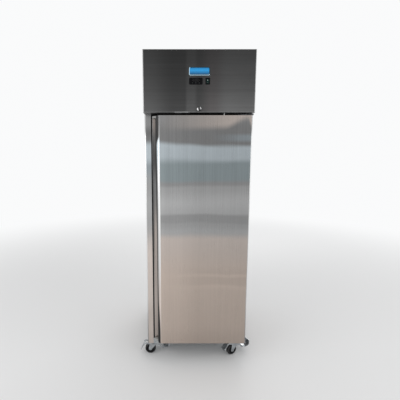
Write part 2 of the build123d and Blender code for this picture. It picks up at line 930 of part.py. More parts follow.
def return_bends(x, side, y, heights, radius):
    """Half round tube ends that stand out of a coil's end plate."""
    bends = []
    for lower, upper in zip(heights[::2], heights[1::2]):
        reach = (upper - lower) / 2
        path = ThreePointArc((x, y, lower), (x + side * reach, y, (lower + upper) / 2), (x, y, upper))
        section = Plane(origin=path @ 0, z_dir=path % 0) * Circle(radius)
        bends.append(sweep(section, path=path))
    return bends


def condenser_coil():
    """Finned condenser with end plates, return bends and the fan shroud."""
    x0 = condenser_x - condenser_width / 2
    x1 = condenser_x + condenser_width / 2
    z0 = deck_z + tray_thickness
    z1 = condenser_z0 + condenser_height
    plate = condenser_plate
    fins = fin_comb(x0 + plate, x1 - plate, condenser_y0, condenser_y1, condenser_z0, z1,
                    condenser_fins)
    plate_y1 = condenser_y1 + condenser_plate_lap
    left = block(x0, x0 + plate, shroud_y, plate_y1, z0, z1)
    right = block(x1 - plate, x1, shroud_y, plate_y1, z0, z1)
    shroud = block(x0, x1, shroud_y, shroud_y + shroud_sheet, z0, z1)
    ring_radius = condenser_fan_radius + fan_tip_clearance
    mouth = (condenser_x, shroud_y - throat_depth, condenser_z)
    shroud -= rod(mouth, (condenser_x, shroud_y + shroud_sheet, condenser_z), ring_radius)
    throat = tube(mouth, (condenser_x, shroud_y, condenser_z), ring_radius + shroud_sheet, ring_radius)
    coil = fins + left + right + shroud + throat
    heights = condenser_levels()
    middle = (condenser_y0 + condenser_y1) / 2
    coil += return_bends(x1, 1, middle, heights, tube_radius)
    coil += return_bends(x0, -1, middle, heights[1:-1], tube_radius)
    return coil


def fan_blades(centre, radius, hub_radius, depth, bore):
    """Axial fan that turns about Y, with twisted blades on a hub."""
    x, y, z = centre
    fan = rod((x, y - depth / 2, z), (x, y + depth / 2, z), hub_radius)
    root = Plane(origin=(0, 0, hub_radius - blade_bite)).rotated((0, 0, blade_root_angle))
    tip = Plane(origin=(0, 0, radius)).rotated((0, 0, blade_tip_angle))
    inner = root * RectangleRounded(radius * blade_root_share, blade_root_thickness,
                                    blade_root_thickness * blade_rounding)
    outer = tip * RectangleRounded(radius * blade_tip_share, blade_tip_thickness,
                                   blade_tip_thickness * blade_rounding)
    blade = loft([inner, outer])
    for i in range(fan_blades_count):
        fan += Pos(x, y, z) * Rot(0, 360.0 * i / fan_blades_count, 0) * blade
    fan &= rod((x, y - depth, z), (x, y + depth, z), radius)
    return fan - rod((x, y - depth, z), (x, y + depth, z), bore)


def fan_motor(x, z, y0, y1, radius, shaft_end, shaft_radius):
    """Round motor body with a domed back and its shaft."""
    body = rod((x, y0, z), (x, y1, z), radius)
    body = fillet(body.edges().filter_by(GeomType.CIRCLE), motor_edge_radius)
    return body + rod((x, min(y0, shaft_end), z), (x, max(y1, shaft_end), z), shaft_radius)


def condenser_fan_motor():
    """Condenser fan motor on a strap bracket that reaches the shroud."""
    motor_y1 = shroud_y - condenser_motor_gap
    motor = fan_motor(condenser_x, condenser_z, motor_y1 - condenser_motor_length, motor_y1,
                      condenser_motor_radius, shroud_y + shaft_past_hub, condenser_shaft_radius)
    reach = condenser_fan_radius + fan_tip_clearance + strap_reach
    strap_y1 = motor_y1 - strap_setback
    strap_y0 = strap_y1 - strap_thickness
    low = condenser_z - strap_width / 2
    high = condenser_z + strap_width / 2
    bar = block(condenser_x - reach, condenser_x + reach, strap_y0, strap_y1, low, high)
    for side in (-1, 1):
        outer = condenser_x + side * reach
        inner = outer - side * strap_thickness
        bar += block(min(outer, inner), max(outer, inner), strap_y0, shroud_y, low, high)
    return motor + bar


def condenser_fan():
    """Condenser fan blades in the shroud's throat."""
    centre = (condenser_x, shroud_y - condenser_fan_gap, condenser_z)
    return fan_blades(centre, condenser_fan_radius, condenser_hub_radius, condenser_hub_depth,
                      condenser_shaft_radius + running_clearance)


def compressor():
    """Hermetic compressor: pot, lid, terminal cover, stubs and a foot plate on rubber feet."""
    z0 = deck_z + tray_thickness
    foot_z = z0 + compressor_foot_height
    plate_z = foot_z + compressor_plate_thickness
    r = compressor_radius
    h = compressor_height
    seam = r + compressor_seam
    outline = [(0, 0), (r * 0.72, 0), (r * 0.93, h * 0.10), (r, h * 0.28), (r, h * 0.52),
               (seam, h * 0.53), (seam, h * 0.56), (r * 0.98, h * 0.57), (r * 0.92, h * 0.80),
               (r * 0.68, h * 0.95), (r * 0.30, h), (0, h)]
    section = make_face(Polyline([(a, 0, b) for a, b in outline], close=True))
    pot = Pos(compressor_x, compressor_y, plate_z) * revolve(section, Axis.Z)
    plate = block(compressor_x - compressor_plate_half_x, compressor_x + compressor_plate_half_x,
                  compressor_y - compressor_plate_half_y, compressor_y + compressor_plate_half_y,
                  foot_z, plate_z)
    box_z = foot_z + terminal_box_rise
    box = block(compressor_x - r - terminal_box_reach, compressor_x - r + terminal_box_bite,
                compressor_y - terminal_box_half_width, compressor_y + terminal_box_half_width,
                box_z, box_z + terminal_box_height)
    sx, sy, sz = suction_stub()
    inlet = rod((sx, compressor_y - r * 0.9, sz), (sx, sy, sz), pipe_radius + stub_wall)
    dx, dy, dz = discharge_stub()
    outlet = rod((dx, dy, foot_z + h * 0.8), (dx, dy, dz), capillary_radius + stub_wall)
    pot = pot + plate + box + inlet + outlet
    feet = []
    for fx in (-compressor_foot_x, compressor_foot_x):
        for fy in (-compressor_foot_y, compressor_foot_y):
            x = compressor_x + fx
            y = compressor_y + fy
            feet.append(rod((x, y, z0), (x, y, foot_z), compressor_foot_radius))
    return group([pot] + feet)


def condenser_levels():
    """Height of each tube row of the condenser."""
    low = condenser_z0 + condenser_tube_inset
    high = condenser_z0 + condenser_height - condenser_tube_inset
    return spaced(low, high, tube_rows)


def bend_apex(lower, upper):
    """Outermost point of a return bend on the condenser's right side."""
    x = condenser_x + condenser_width / 2 + (upper - lower) / 2
    return x, (condenser_y0 + condenser_y1) / 2, (lower + upper) / 2


def suction_stub():
    """Where the suction pipe joins the compressor's front."""
    z = deck_z + tray_thickness + compressor_foot_height + suction_stub_rise
    return compressor_x, compressor_y - compressor_radius - suction_stub_length, z


def discharge_stub():
    """Where the discharge pipe leaves the compressor's lid."""
    z = (deck_z + tray_thickness + compressor_foot_height + compressor_height
         + discharge_stub_length)
    return compressor_x, compressor_y + discharge_stub_offset, z


def suction_pipe():
    """From the evaporator up through the roof to the compressor."""
    x, y, z = suction_stub()
    neck_z = z - pipe_swan_neck
    route = [(x, y, z), (x, chase_y, z), (chase_x, chase_y, neck_z),
             (chase_x, chase_y, chamber_z1 - pipe_drop)]
    return pipe(route, [pipe_bend, pipe_swan_bend], pipe_radius)


def liquid_pipe():
    """From the condenser's lowest bend through the filter drier down to the evaporator."""
    levels = condenser_levels()
    end_x, end_y, end_z = bend_apex(levels[0], levels[1])
    end_y -= tube_radius + joint_gap
    x = chase_x - pipe_radius - capillary_radius - joint_gap
    route = [(x, chase_y, chamber_z1 - pipe_drop), (x, chase_y, end_z), (end_x, chase_y, end_z),
             (end_x, end_y, end_z)]
    line = pipe(route, [pipe_bend, pipe_bend], capillary_radius)
    drier_y1 = condenser_y0 - drier_gap
    return line + rod((end_x, drier_y1 - drier_length, end_z), (end_x, drier_y1, end_z), drier_radius)


def discharge_pipe():
    """From the compressor's lid to the condenser's top bend."""
    levels = condenser_levels()
    end_x, end_y, end_z = bend_apex(levels[-2], levels[-1])
    end_y -= tube_radius + joint_gap
    x, y, z = discharge_stub()
    route = [(x, y, z), (x, y, end_z), (end_x, y, end_z), (end_x, end_y, end_z)]
    return pipe(route, [discharge_bend, pipe_bend], capillary_radius)


def refrigerant_pipes():
    """Copper pipes between compressor, condenser and evaporator."""
    return group([suction_pipe(), liquid_pipe(), discharge_pipe()])


def electrical_box():
    """Junction box for mains, fan and compressor wiring, beside the cable gland."""
    x0 = -half_width + back_lip + electrical_box_side_gap
    x1 = x0 + electrical_box_width
    y0 = plane_y + electrical_box_front_gap
    y1 = y0 + electrical_box_depth
    z1 = deck_z + electrical_box_height
    box = block(x0, x1, y0, y1, deck_z, z1)
    box = fillet(box.edges().filter_by(Axis.Z), electrical_box_radius)
    lap = electrical_lid_lap
    lid = block(x0 - lap, x1 + lap, y0 - lap, y1 + lap, z1 - electrical_lid_height, z1)
    return box + lid


# Evaporator

def evaporator_cover():
    """Casing under the chamber roof with the fan opening in front and air slots below."""
    half = evaporator_width / 2
    y0, y1 = evaporator_y0, evaporator_y1
    z0, z1 = evaporator_z0, chamber_z1
    t = evaporator_sheet
    bevel = evaporator_bevel
    slope = evaporator_slope
    outline = [(y0, z1), (y0, z0 + bevel), (y0 + bevel, z0), (y1 - slope, z0), (y1, z0 + slope),
               (y1, z1)]
    inner = [(y0 + t, z1), (y0 + t, z0 + bevel + t / 2), (y0 + bevel + t / 2, z0 + t),
             (y1 - slope - t / 2, z0 + t), (y1 - t, z0 + slope + t / 2), (y1 - t, z1)]
    cover = profile_yz(outline, -half, half) - profile_yz(inner, -half + t, half - t)
    cover -= rod((0, y0, evaporator_fan_z), (0, y0 + t, evaporator_fan_z),
                 evaporator_fan_radius + fan_tip_clearance)
    slots = []
    half_x = evaporator_slot_length / 2
    half_y = evaporator_slot_width / 2
    columns = spaced(-half + evaporator_slot_side_inset, half - evaporator_slot_side_inset,
                     evaporator_slot_columns)
    rows = spaced(y0 + evaporator_slot_front_gap, y1 - slope - evaporator_slot_back_gap,
                  evaporator_slot_rows)
    for x in columns:
        for y in rows:
            slots.append(block(x - half_x, x + half_x, y - half_y, y + half_y, z0, z0 + t))
    return cover - slots


def evaporator_coil():
    """Finned evaporator behind the fan, hung from the roof."""
    x0 = -coil_width / 2
    x1 = coil_width / 2
    y0 = evaporator_y0 + coil_setback
    y1 = y0 + coil_depth
    z1 = chamber_z1 - coil_roof_gap
    z0 = z1 - coil_height
    fins = fin_comb(x0 + coil_plate, x1 - coil_plate, y0, y1, z0, z1, coil_fins)
    left = block(x0, x0 + coil_plate, y0, y1, z0, chamber_z1)
    right = block(x1 - coil_plate, x1, y0, y1, z0, chamber_z1)
    coil = fins + left + right
    heights = spaced(z0 + coil_tube_inset, z1 - coil_tube_inset, coil_tube_rows)
    for y in (y0 + coil_row_inset, y1 - coil_row_inset):
        coil += return_bends(x0, -1, y, heights, tube_radius)
    return coil


def evaporator_blade_y():
    return evaporator_y0 + evaporator_fan_setback


def around_fan(turn):
    """Place of a piece that is set at an angle about the evaporator fan's axis."""
    return Pos(0, 0, evaporator_fan_z) * Rot(0, turn, 0)


def evaporator_motor():
    """Motor behind the blades on three arms that reach the cover."""
    blade_y = evaporator_blade_y()
    motor_y0 = blade_y + evaporator_motor_gap
    motor = fan_motor(0, evaporator_fan_z, motor_y0, motor_y0 + evaporator_motor_length,
                      evaporator_motor_radius, blade_y - evaporator_shaft_nose,
                      evaporator_shaft_radius)
    reach = evaporator_fan_radius + fan_tip_clearance + motor_arm_reach
    arm_y0 = motor_y0 + motor_arm_setback
    arm_y1 = arm_y0 + motor_arm_thickness
    half = motor_arm_width / 2
    arm = block(motor_arm_start, reach, arm_y0, arm_y1, -half, half)
    arm += block(reach - motor_arm_thickness, reach, evaporator_y0 + evaporator_sheet, arm_y1,
                 -half, half)
    for turn in motor_arm_turns:
        motor += around_fan(turn) * arm
    return motor


def fan_guard():
    """Wire guard in front of the evaporator's fan opening."""
    y = evaporator_y0 - guard_gap
    outer = evaporator_fan_radius + fan_tip_clearance + guard_lap
    ring_place = Pos(0, y, evaporator_fan_z) * Rot(90, 0, 0)
    radii = spaced(guard_inner_radius, outer, guard_rings)
    guard = ring_place * Torus(radii[0], guard_wire_radius)
    for radius in radii[1:]:
        guard += ring_place * Torus(radius, guard_wire_radius)
    half = guard_spoke_width / 2
    spoke = block(guard_inner_radius, outer, y, y + guard_spoke_thickness, -half, half)
    spoke += block(outer - guard_foot, outer, y, evaporator_y0, -half, half)
    for turn in guard_spoke_turns:
        guard += around_fan(turn) * spoke
    return guard


def evaporator_fan_motor():
    """Evaporator fan motor and its guard, two separate solids."""
    return group([evaporator_motor(), fan_guard()])


def evaporator_fan():
    """Evaporator fan blades."""
    centre = (0, evaporator_blade_y(), evaporator_fan_z)
    return fan_blades(centre, evaporator_fan_radius, evaporator_hub_radius, evaporator_hub_depth,
                      evaporator_shaft_radius + running_clearance)


# Interior

def pilaster_places():
    """Y of the front and back shelf uprights."""
    return [plane_y + pilaster_front_gap, chamber_back_y - pilaster_back_gap]


def shelf_pilasters():
    """Four slotted uprights that carry the shelf clips."""
    z0 = chamber_z0 + pilaster_foot
    z1 = z0 + pilaster_length
    half = pilaster_width / 2
    t = pilaster_sheet
    made = []
    for y in pilaster_places():
        upright = block(pilaster_x, chamber_x, y - half, y + half, z0, z1)
        upright -= block(pilaster_x + t, chamber_x, y - half + t, y + half - t, z0, z1)
        count = int((pilaster_length - slot_pitch) // slot_pitch)
        slots = [block(pilaster_x, pilaster_x + t, y - slot_width / 2, y + slot_width / 2,
                       z0 + slot_pitch * (i + 0.5), z0 + slot_pitch * (i + 0.5) + slot_height)
                 for i in range(count)]
        upright -= slots
        made.append(upright)
        made.append(mirror(upright, about=Plane.YZ))
    return group(made)


def shelf_clips():
    """Clips on the uprights, four to each shelf."""
    made = []
    for level in shelf_heights:
        seat = level - clip_gap
        for y in pilaster_places():
            half = clip_width / 2
            tongue = block(pilaster_x - clip_reach, pilaster_x, y - half, y + half,
                           seat - clip_thickness, seat)
            back = block(pilaster_x - clip_thickness, pilaster_x, y - half, y + half,
                         seat - clip_height, seat)
            clip = tongue + back
            made.append(clip)
            made.append(mirror(clip, about=Plane.YZ))
    return group(made)


def wire_shelf():
    """Wire shelf at floor level: a round rim with wires from front to back on cross bars."""
    r = shelf_rim_radius
    z = r
    x = shelf_half_width - r
    y0 = shelf_y0 + r
    y1 = shelf_y1 - r
    outline = Pos(0, (y0 + y1) / 2, z) * RectangleRounded(2 * x, y1 - y0, shelf_corner)
    path = outline.face().outer_wire()
    section = Plane(origin=path @ 0, z_dir=path % 0) * Circle(r)
    shelf = sweep(section, path=path)
    bars = [rod((-x, y, z), (x, y, z), shelf_bar_radius)
            for y in spaced(y0, y1, shelf_cross_bars + 2)[1:-1]]
    wire_z = z + r - shelf_wire_radius - shelf_wire_drop
    wires = [rod((wx, y0, wire_z), (wx, y1, wire_z), shelf_wire_radius)
             for wx in spaced(-x, x, shelf_wires + 2)[1:-1]]
    return shelf + bars + wires


def interior_lamp():
    """Light strip under the chamber roof, near the front."""
    y0 = plane_y + lamp_front_gap
    base = block(-lamp_length / 2, lamp_length / 2, y0, y0 + lamp_width,
                 chamber_z1 - lamp_height, chamber_z1)
    return fillet(base.edges().filter_by(Axis.X).sort_by(Axis.Z)[:2], lamp_edge_radius)


# Door

def door_outline():
    """Plan of the door with the full height hand recess behind its rolled left edge."""
    lip_y = face_y + handle_lip_depth
    floor_y = face_y + handle_depth
    hook_x = handle_x + handle_undercut
    return [(door_x1, face_y), (handle_x, face_y), (handle_x, lip_y), (hook_x, lip_y),
            (hook_x, floor_y), (door_x0, floor_y), (door_x0, door_back_y), (door_x1, door_back_y)]


def door_face():
    """The plan as a face with its bent edges rounded."""
    outline = door_outline()
    radii = [door_edge_radius, handle_roll_radius, handle_lip_radius, handle_hook_radius,
             handle_floor_radius, handle_hook_radius, 0.0, 0.0]
    return make_face(FilletPolyline(outline, radius=radii, close=True))


def door_inner_face():
    """The same plan inside the skin, open to the back."""
    grown = offset(door_face(), amount=-sheet, kind=Kind.INTERSECTION)
    back_strip = Pos((door_x0 + door_x1) / 2, door_back_y - sheet / 2) * Rectangle(
        door_x1 - door_x0 - 2 * sheet, sheet)
    return grown + back_strip


def gasket_ring(z_inset, width, y0, y1):
    """A frame around the opening, set out from its edge."""
    inner_x = chamber_x + z_inset
    outer_x = inner_x + width
    frame = block(-outer_x, outer_x, y0, y1, chamber_z0 - z_inset - width, chamber_z1 + z_inset + width)
    return frame - block(-inner_x, inner_x, y0, y1, chamber_z0 - z_inset, chamber_z1 + z_inset)


def dart_ring(y0, y1, extra):
    """The gasket's root, grown on all sides where an extra is given."""
    inset = gasket_inset + (gasket_width - dart_width) / 2 - extra
    return gasket_ring(inset, dart_width + 2 * extra, y0, y1)


def groove_channel(wall):
    """The gasket groove, or with a wall the channel of the inner panel that holds it."""
    bottom = door_back_y - dart_depth - groove_clearance - wall
    return dart_ring(bottom, door_back_y, groove_clearance + wall)


def bush_cut(z0, z1, radius):
    return rod((hinge_x, hinge_y, z0), (hinge_x, hinge_y, z1), radius)


def hinge_sockets():
    """Holes for the bushes in the top and the bottom of the door."""
    radius = pin_radius + running_clearance + bush_wall
    return [bush_cut(door_z0, door_z0 + bush_depth, radius),
            bush_cut(door_z1 - bush_depth, door_z1, radius)]


def strike_pocket():
    """Slot in the top of the door that the lock cam drops into."""
    depth = lock_z - door_z1
    bite = cam_reach - depth
    half = (cam_reach ** 2 - depth ** 2) ** 0.5
    return block(-cam_width / 2 - cam_clearance, half + cam_clearance, cam_y0 - cam_clearance,
                 cam_y1 + cam_clearance, door_z1 - bite - cam_clearance, door_z1)


def door_skin():
    """Stainless outer skin of the door, folded around the hand recess."""
    outer = Pos(0, 0, door_z0) * extrude(door_face(), door_z1 - door_z0)
    inner = Pos(0, 0, door_z0 + sheet) * extrude(door_inner_face(), door_z1 - door_z0 - 2 * sheet)
    skin = outer - inner
    for socket in hinge_sockets():
        skin -= socket
    return skin - strike_pocket()


def dyke_block(grow, y0, y1):
    """The raised middle of the inner panel, or the space behind it."""
    half = chamber_x - dyke_inset + grow
    raised = block(-half, half, y0, y1, chamber_z0 + dyke_inset - grow, chamber_z1 - dyke_inset + grow)
    return fillet(raised.edges().filter_by(Axis.Y), dyke_radius + grow)


def door_liner():
    """Inner panel of the door: a flange with the gasket groove and a raised middle."""
    y1 = door_back_y
    y0 = y1 - sheet
    flange = block(door_x0 + sheet, door_x1 - sheet, y0, y1, door_z0 + sheet, door_z1 - sheet)
    raised = dyke_block(0.0, y0, y1 + seal_gap + dyke_entry)
    hollow = dyke_block(-sheet, y0, y1 + seal_gap + dyke_entry - sheet)
    liner = flange + raised - hollow + groove_channel(sheet)
    return liner - groove_channel(0.0)


def door_foam():
    """Foam core of the door."""
    z0 = door_z0 + sheet
    z1 = door_z1 - sheet
    core = Pos(0, 0, z0) * extrude(door_inner_face(), z1 - z0)
    core -= block(door_x0, door_x1, door_back_y - sheet, door_back_y, z0, z1)
    core += dyke_block(-sheet, door_back_y - sheet, door_back_y + seal_gap + dyke_entry - sheet)
    core -= groove_channel(sheet)
    for socket in hinge_sockets():
        core -= socket
    return core - strike_pocket()


def door_gasket():
    """Magnetic gasket around the inner face of the door."""
    bead = gasket_ring(gasket_inset, gasket_width, door_back_y, plane_y - gasket_clearance)
    return bead + dart_ring(door_back_y - dart_depth, door_back_y, 0.0)


def handle_caps():
    """Plastic end pieces that close the hand recess at the top and the bottom of the door."""
    hook_x = handle_x + handle_undercut
    floor_y = face_y + handle_depth
    roll_y = face_y + handle_roll_radius
    outline = [(door_x0, floor_y), (door_x0, floor_y - handle_cap_side), (handle_x, roll_y),
               (hook_x, roll_y), (hook_x, floor_y)]
    cap = extrude(make_face(Polyline(outline, close=True)), handle_cap_height)
    cap -= extrude(door_face(), handle_cap_height)
    return [Pos(0, 0, door_z0) * cap, Pos(0, 0, door_z1 - handle_cap_height) * cap]


def door_fittings():
    """Moulded pieces of the door: handle end caps, and flanged bushes in the hinge holes."""
    bore = pin_radius + running_clearance
    radius = bore + bush_wall
    low = tube((hinge_x, hinge_y, door_z0), (hinge_x, hinge_y, door_z0 + bush_depth), radius, bore)
    low += tube((hinge_x, hinge_y, door_z0 - bush_head), (hinge_x, hinge_y, door_z0),
                radius + bush_wall, bore)
    high = tube((hinge_x, hinge_y, door_z1 - bush_depth), (hinge_x, hinge_y, door_z1), radius, bore)
    high += tube((hinge_x, hinge_y, door_z1), (hinge_x, hinge_y, door_z1 + bush_head),
                 radius + bush_wall, bore)
    return group([low, high] + handle_caps())


def hinge_bracket(plate_z0, pin_z0, pin_z1, leaf_z0, leaf_z1):
    """Angle bracket on the cabinet front with the pin that the door turns on."""
    x1 = half_width - 2 * sheet
    x0 = x1 - hinge_plate_width
    leaf = block(x0, post_x, plane_y - hinge_leaf, plane_y, leaf_z0, leaf_z1)
    y0 = hinge_y - hinge_nose
    outline = [(x0, plane_y), (x0, plane_y - hinge_root), (hinge_x - hinge_flank, y0),
               (x1 - hinge_bevel, y0), (x1, y0 + hinge_bevel), (x1, plane_y)]
    plate = Pos(0, 0, plate_z0) * extrude(make_face(Polyline(outline, close=True)), hinge_plate)
    pin = rod((hinge_x, hinge_y, pin_z0), (hinge_x, hinge_y, pin_z1), pin_radius)
    return leaf + plate + pin


def hinge_brackets():
    """Top and bottom hinge brackets."""
    top_plate = door_z1 + bush_head + hinge_gap
    top = hinge_bracket(top_plate, door_z1 - bush_depth + pin_end_gap, top_plate + hinge_plate,
                        top_plate, top_plate + hinge_leaf_height)
    bolt = extrude(RegularPolygon(hinge_bolt_radius, 6), hinge_bolt_height)
    top += Pos(hinge_x, hinge_y, top_plate + hinge_plate) * bolt
    bottom_plate = door_z0 - bush_head - hinge_gap - hinge_plate
    bottom = hinge_bracket(bottom_plate, bottom_plate, door_z0 + bush_depth - pin_end_gap,
                           base_z + sheet, bottom_plate + hinge_plate)
    return group([top, bottom])


# Castors

def caster_places():
    """Swivel axis of each castor: front left, front right, back left, back right."""
    x = half_width - caster_inset_x
    front = plane_y + caster_front_inset
    back = back_y - caster_back_inset
    return [(-x, front), (x, front), (-x, back), (x, back)]


def caster_bolts():
    half_x = caster_bolt_spacing_x / 2
    half_y = caster_bolt_spacing_y / 2
    return [(-half_x, -half_y), (half_x, -half_y), (-half_x, half_y), (half_x, half_y)]


def caster_plates():
    """Top plates with their raceways and kingpins, fixed under the cabinet."""
    z1 = caster_height
    z0 = z1 - caster_plate_thickness
    race_z = z0 - raceway_height
    made = []
    for x, y in caster_places():
        outline = RectangleRounded(caster_plate_length, caster_plate_width, caster_plate_radius)
        plate = Pos(x, y, z0) * extrude(outline, caster_plate_thickness)
        for bx, by in caster_bolts():
            plate -= rod((x + bx, y + by, z0), (x + bx, y + by, z1), caster_bolt_hole_radius)
        race = rod((x, y, race_z), (x, y, z0), raceway_radius)
        head_z1 = race_z - crown_thickness - 2 * kingpin_gap
        pin = rod((x, y, head_z1 - kingpin_head_height), (x, y, race_z), kingpin_radius)
        head = rod((x, y, head_z1 - kingpin_head_height), (x, y, head_z1), kingpin_head_radius)
        made.append(plate + race + pin + head)
    return group(made)


def place_caster(solid, index, yaw):
    """Turn a castor piece about its swivel axis and move it to its corner."""
    x, y = caster_places()[index]
    return Pos(x, y, 0) * Rot(0, 0, yaw) * solid


def fork_half_width():
    return wheel_width / 2 + wheel_hub_gap


def pedal_pivot():
    return (-pedal_pivot_back, pedal_pivot_z)


def caster_fork(braked):
    """Swivel fork that trails toward -X, with its axle bolt as a separate solid."""
    inner = fork_half_width()
    outer = inner + fork_leg
    crown_z1 = caster_height - caster_plate_thickness - raceway_height - kingpin_gap
    crown_z0 = crown_z1 - crown_thickness
    crown = block(-trail, raceway_radius, -outer, outer, crown_z0, crown_z1)
    crown -= rod((0, 0, crown_z0), (0, 0, crown_z1), kingpin_radius + running_clearance)
    foot = leg_foot_radius
    profile = [(raceway_radius, crown_z1), (-trail, crown_z1), (-trail - foot, wheel_radius + leg_foot_rise),
               (-trail - foot, wheel_radius), (-trail + foot, wheel_radius),
               (leg_front_u, leg_front_z), (raceway_radius, leg_top_z)]
    fork = crown
    for side in (-1, 1):
        leg = profile_xz(profile, 0, fork_leg)
        leg += rod((-trail, 0, wheel_radius), (-trail, fork_leg, wheel_radius), foot)
        leg -= rod((-trail, 0, wheel_radius), (-trail, fork_leg, wheel_radius), axle_radius)
        start = inner if side > 0 else -outer
        fork += Pos(0, start, 0) * leg
        if braked:
            px, pz = pedal_pivot()
            reach = outer + pedal_side_gap + pedal_arm_thickness + pedal_side_gap
            root = inner + pedal_pin_bite
            fork += rod((px, side * root, pz), (px, side * reach, pz), pedal_pin_radius)
            fork += rod((px, side * reach, pz), (px, side * (reach + pedal_washer), pz),
                        pedal_pin_radius + pedal_washer_lap)
    axle = rod((-trail, -outer, wheel_radius), (-trail, outer, wheel_radius), axle_radius)
    hexagon = extrude(RegularPolygon(axle_head_radius, 6), axle_head_height)
    head = Plane(origin=(-trail, -outer, wheel_radius), z_dir=(0, -1, 0)) * hexagon
    nut = Plane(origin=(-trail, outer, wheel_radius), z_dir=(0, 1, 0)) * hexagon
    return group([fork, axle + head + nut])


def caster_wheel():
    """Wheel with a rounded tread, a recessed web and a hub."""
    half = wheel_width / 2
    r = wheel_radius
    bore = axle_radius + running_clearance
    hub = half + wheel_hub_gap - hub_side_gap
    web = half - web_recess
    half_outline = [(bore, hub), (hub_radius, hub), (hub_radius + 1.0, web), (r - tread_height, web),
                    (r - tread_side, half), (r - tread_chamfer, half), (r, half - tread_shoulder)]
    outline = half_outline + [(a, -b) for a, b in reversed(half_outline)]
    section = make_face(Polyline([(a, b, 0) for a, b in outline], close=True))
    wheel = revolve(section, Axis.Y)
    return Pos(-trail, 0, wheel_radius) * wheel


def brake_pedal(pressed):
    """Two ended brake pedal: side arms outside the fork joined by a toe and a heel plate."""
    px, pz = pedal_pivot()
    points = [(-pedal_back_reach, pedal_back_z), pedal_knee, pedal_shoulder, (px, pz),
              pedal_front_knee, pedal_shin, (pedal_front_reach - pedal_toe_root, pedal_sole_z),
              (pedal_front_reach, pedal_toe_z), (pedal_front_reach, pedal_toe_top)]
    outer = fork_half_width() + fork_leg + pedal_side_gap + pedal_arm_thickness
    inner = outer - pedal_arm_thickness
    flat = FilletPolyline(points, radius=pedal_bends)
    thin = trace(flat, pedal_plate)
    thick = trace(flat, pedal_arm)
    half_toe = pedal_toe_width / 2
    half_heel = pedal_heel_width / 2
    far = pedal_back_reach + pedal_front_reach
    toe = Plane.XZ.offset(-half_toe) * extrude(thin, pedal_toe_width)
    toe &= block(pedal_toe_front, far, -half_toe, half_toe, 0.0, caster_height)
    heel = Plane.XZ.offset(-half_heel) * extrude(thin, pedal_heel_width)
    heel &= block(-far, pedal_toe_back, -half_heel, half_heel, 0.0, caster_height)
    arms = Plane.XZ.offset(-outer) * extrude(thick, 2 * outer)
    arms &= block(pedal_arm_back, pedal_arm_front, -outer, outer, 0.0, caster_height)
    arms -= block(pedal_arm_back, pedal_arm_front, -inner, inner, 0.0, caster_height)
    pedal = toe + heel + arms
    pedal -= rod((px, -outer, pz), (px, outer, pz), pedal_pin_radius + running_clearance)
    if pressed:
        pedal = pedal.rotate(Axis((px, 0, pz), (0, 1, 0)), -pedal_throw)
    return pedal


# Fasteners

def screw(head_at, inward, length):
    """Pan head screw with its head outside the sheet."""
    start = Vector(head_at)
    direction = Vector(inward).normalized()
    shank = rod(start, start + direction * length, screw_radius)
    head = rod(start - direction * screw_head_height, start, screw_head_radius)
    return shank + head


def caster_bolt(x, y):
    """Hexagon bolt up through a castor plate."""
    z = caster_height - caster_plate_thickness
    head = Pos(x, y, z - bolt_head_height) * extrude(RegularPolygon(bolt_head_radius, 6), bolt_head_height)
    return head + rod((x, y, z), (x, y, base_z + sheet), caster_bolt_hole_radius - bolt_clearance)


def screws():
    """All loose fasteners on the cabinet."""
    made = []
    for side in (-1, 1):
        for z in grille_screw_heights():
            x = side * (half_width - back_lip / 2)
            made.append(screw((x, back_y, z), (0, -1, 0), screw_length))
        for z in fascia_screw_heights():
            x = side * (half_width - fascia_tab / 2 - sheet)
            made.append(screw((x, plane_y + sheet, z), (0, -1, 0), screw_length))
    for x, y in caster_places():
        for bx, by in caster_bolts():
            made.append(caster_bolt(x + bx, y + by))
    return group(made)


# The whole set of pieces, one node each

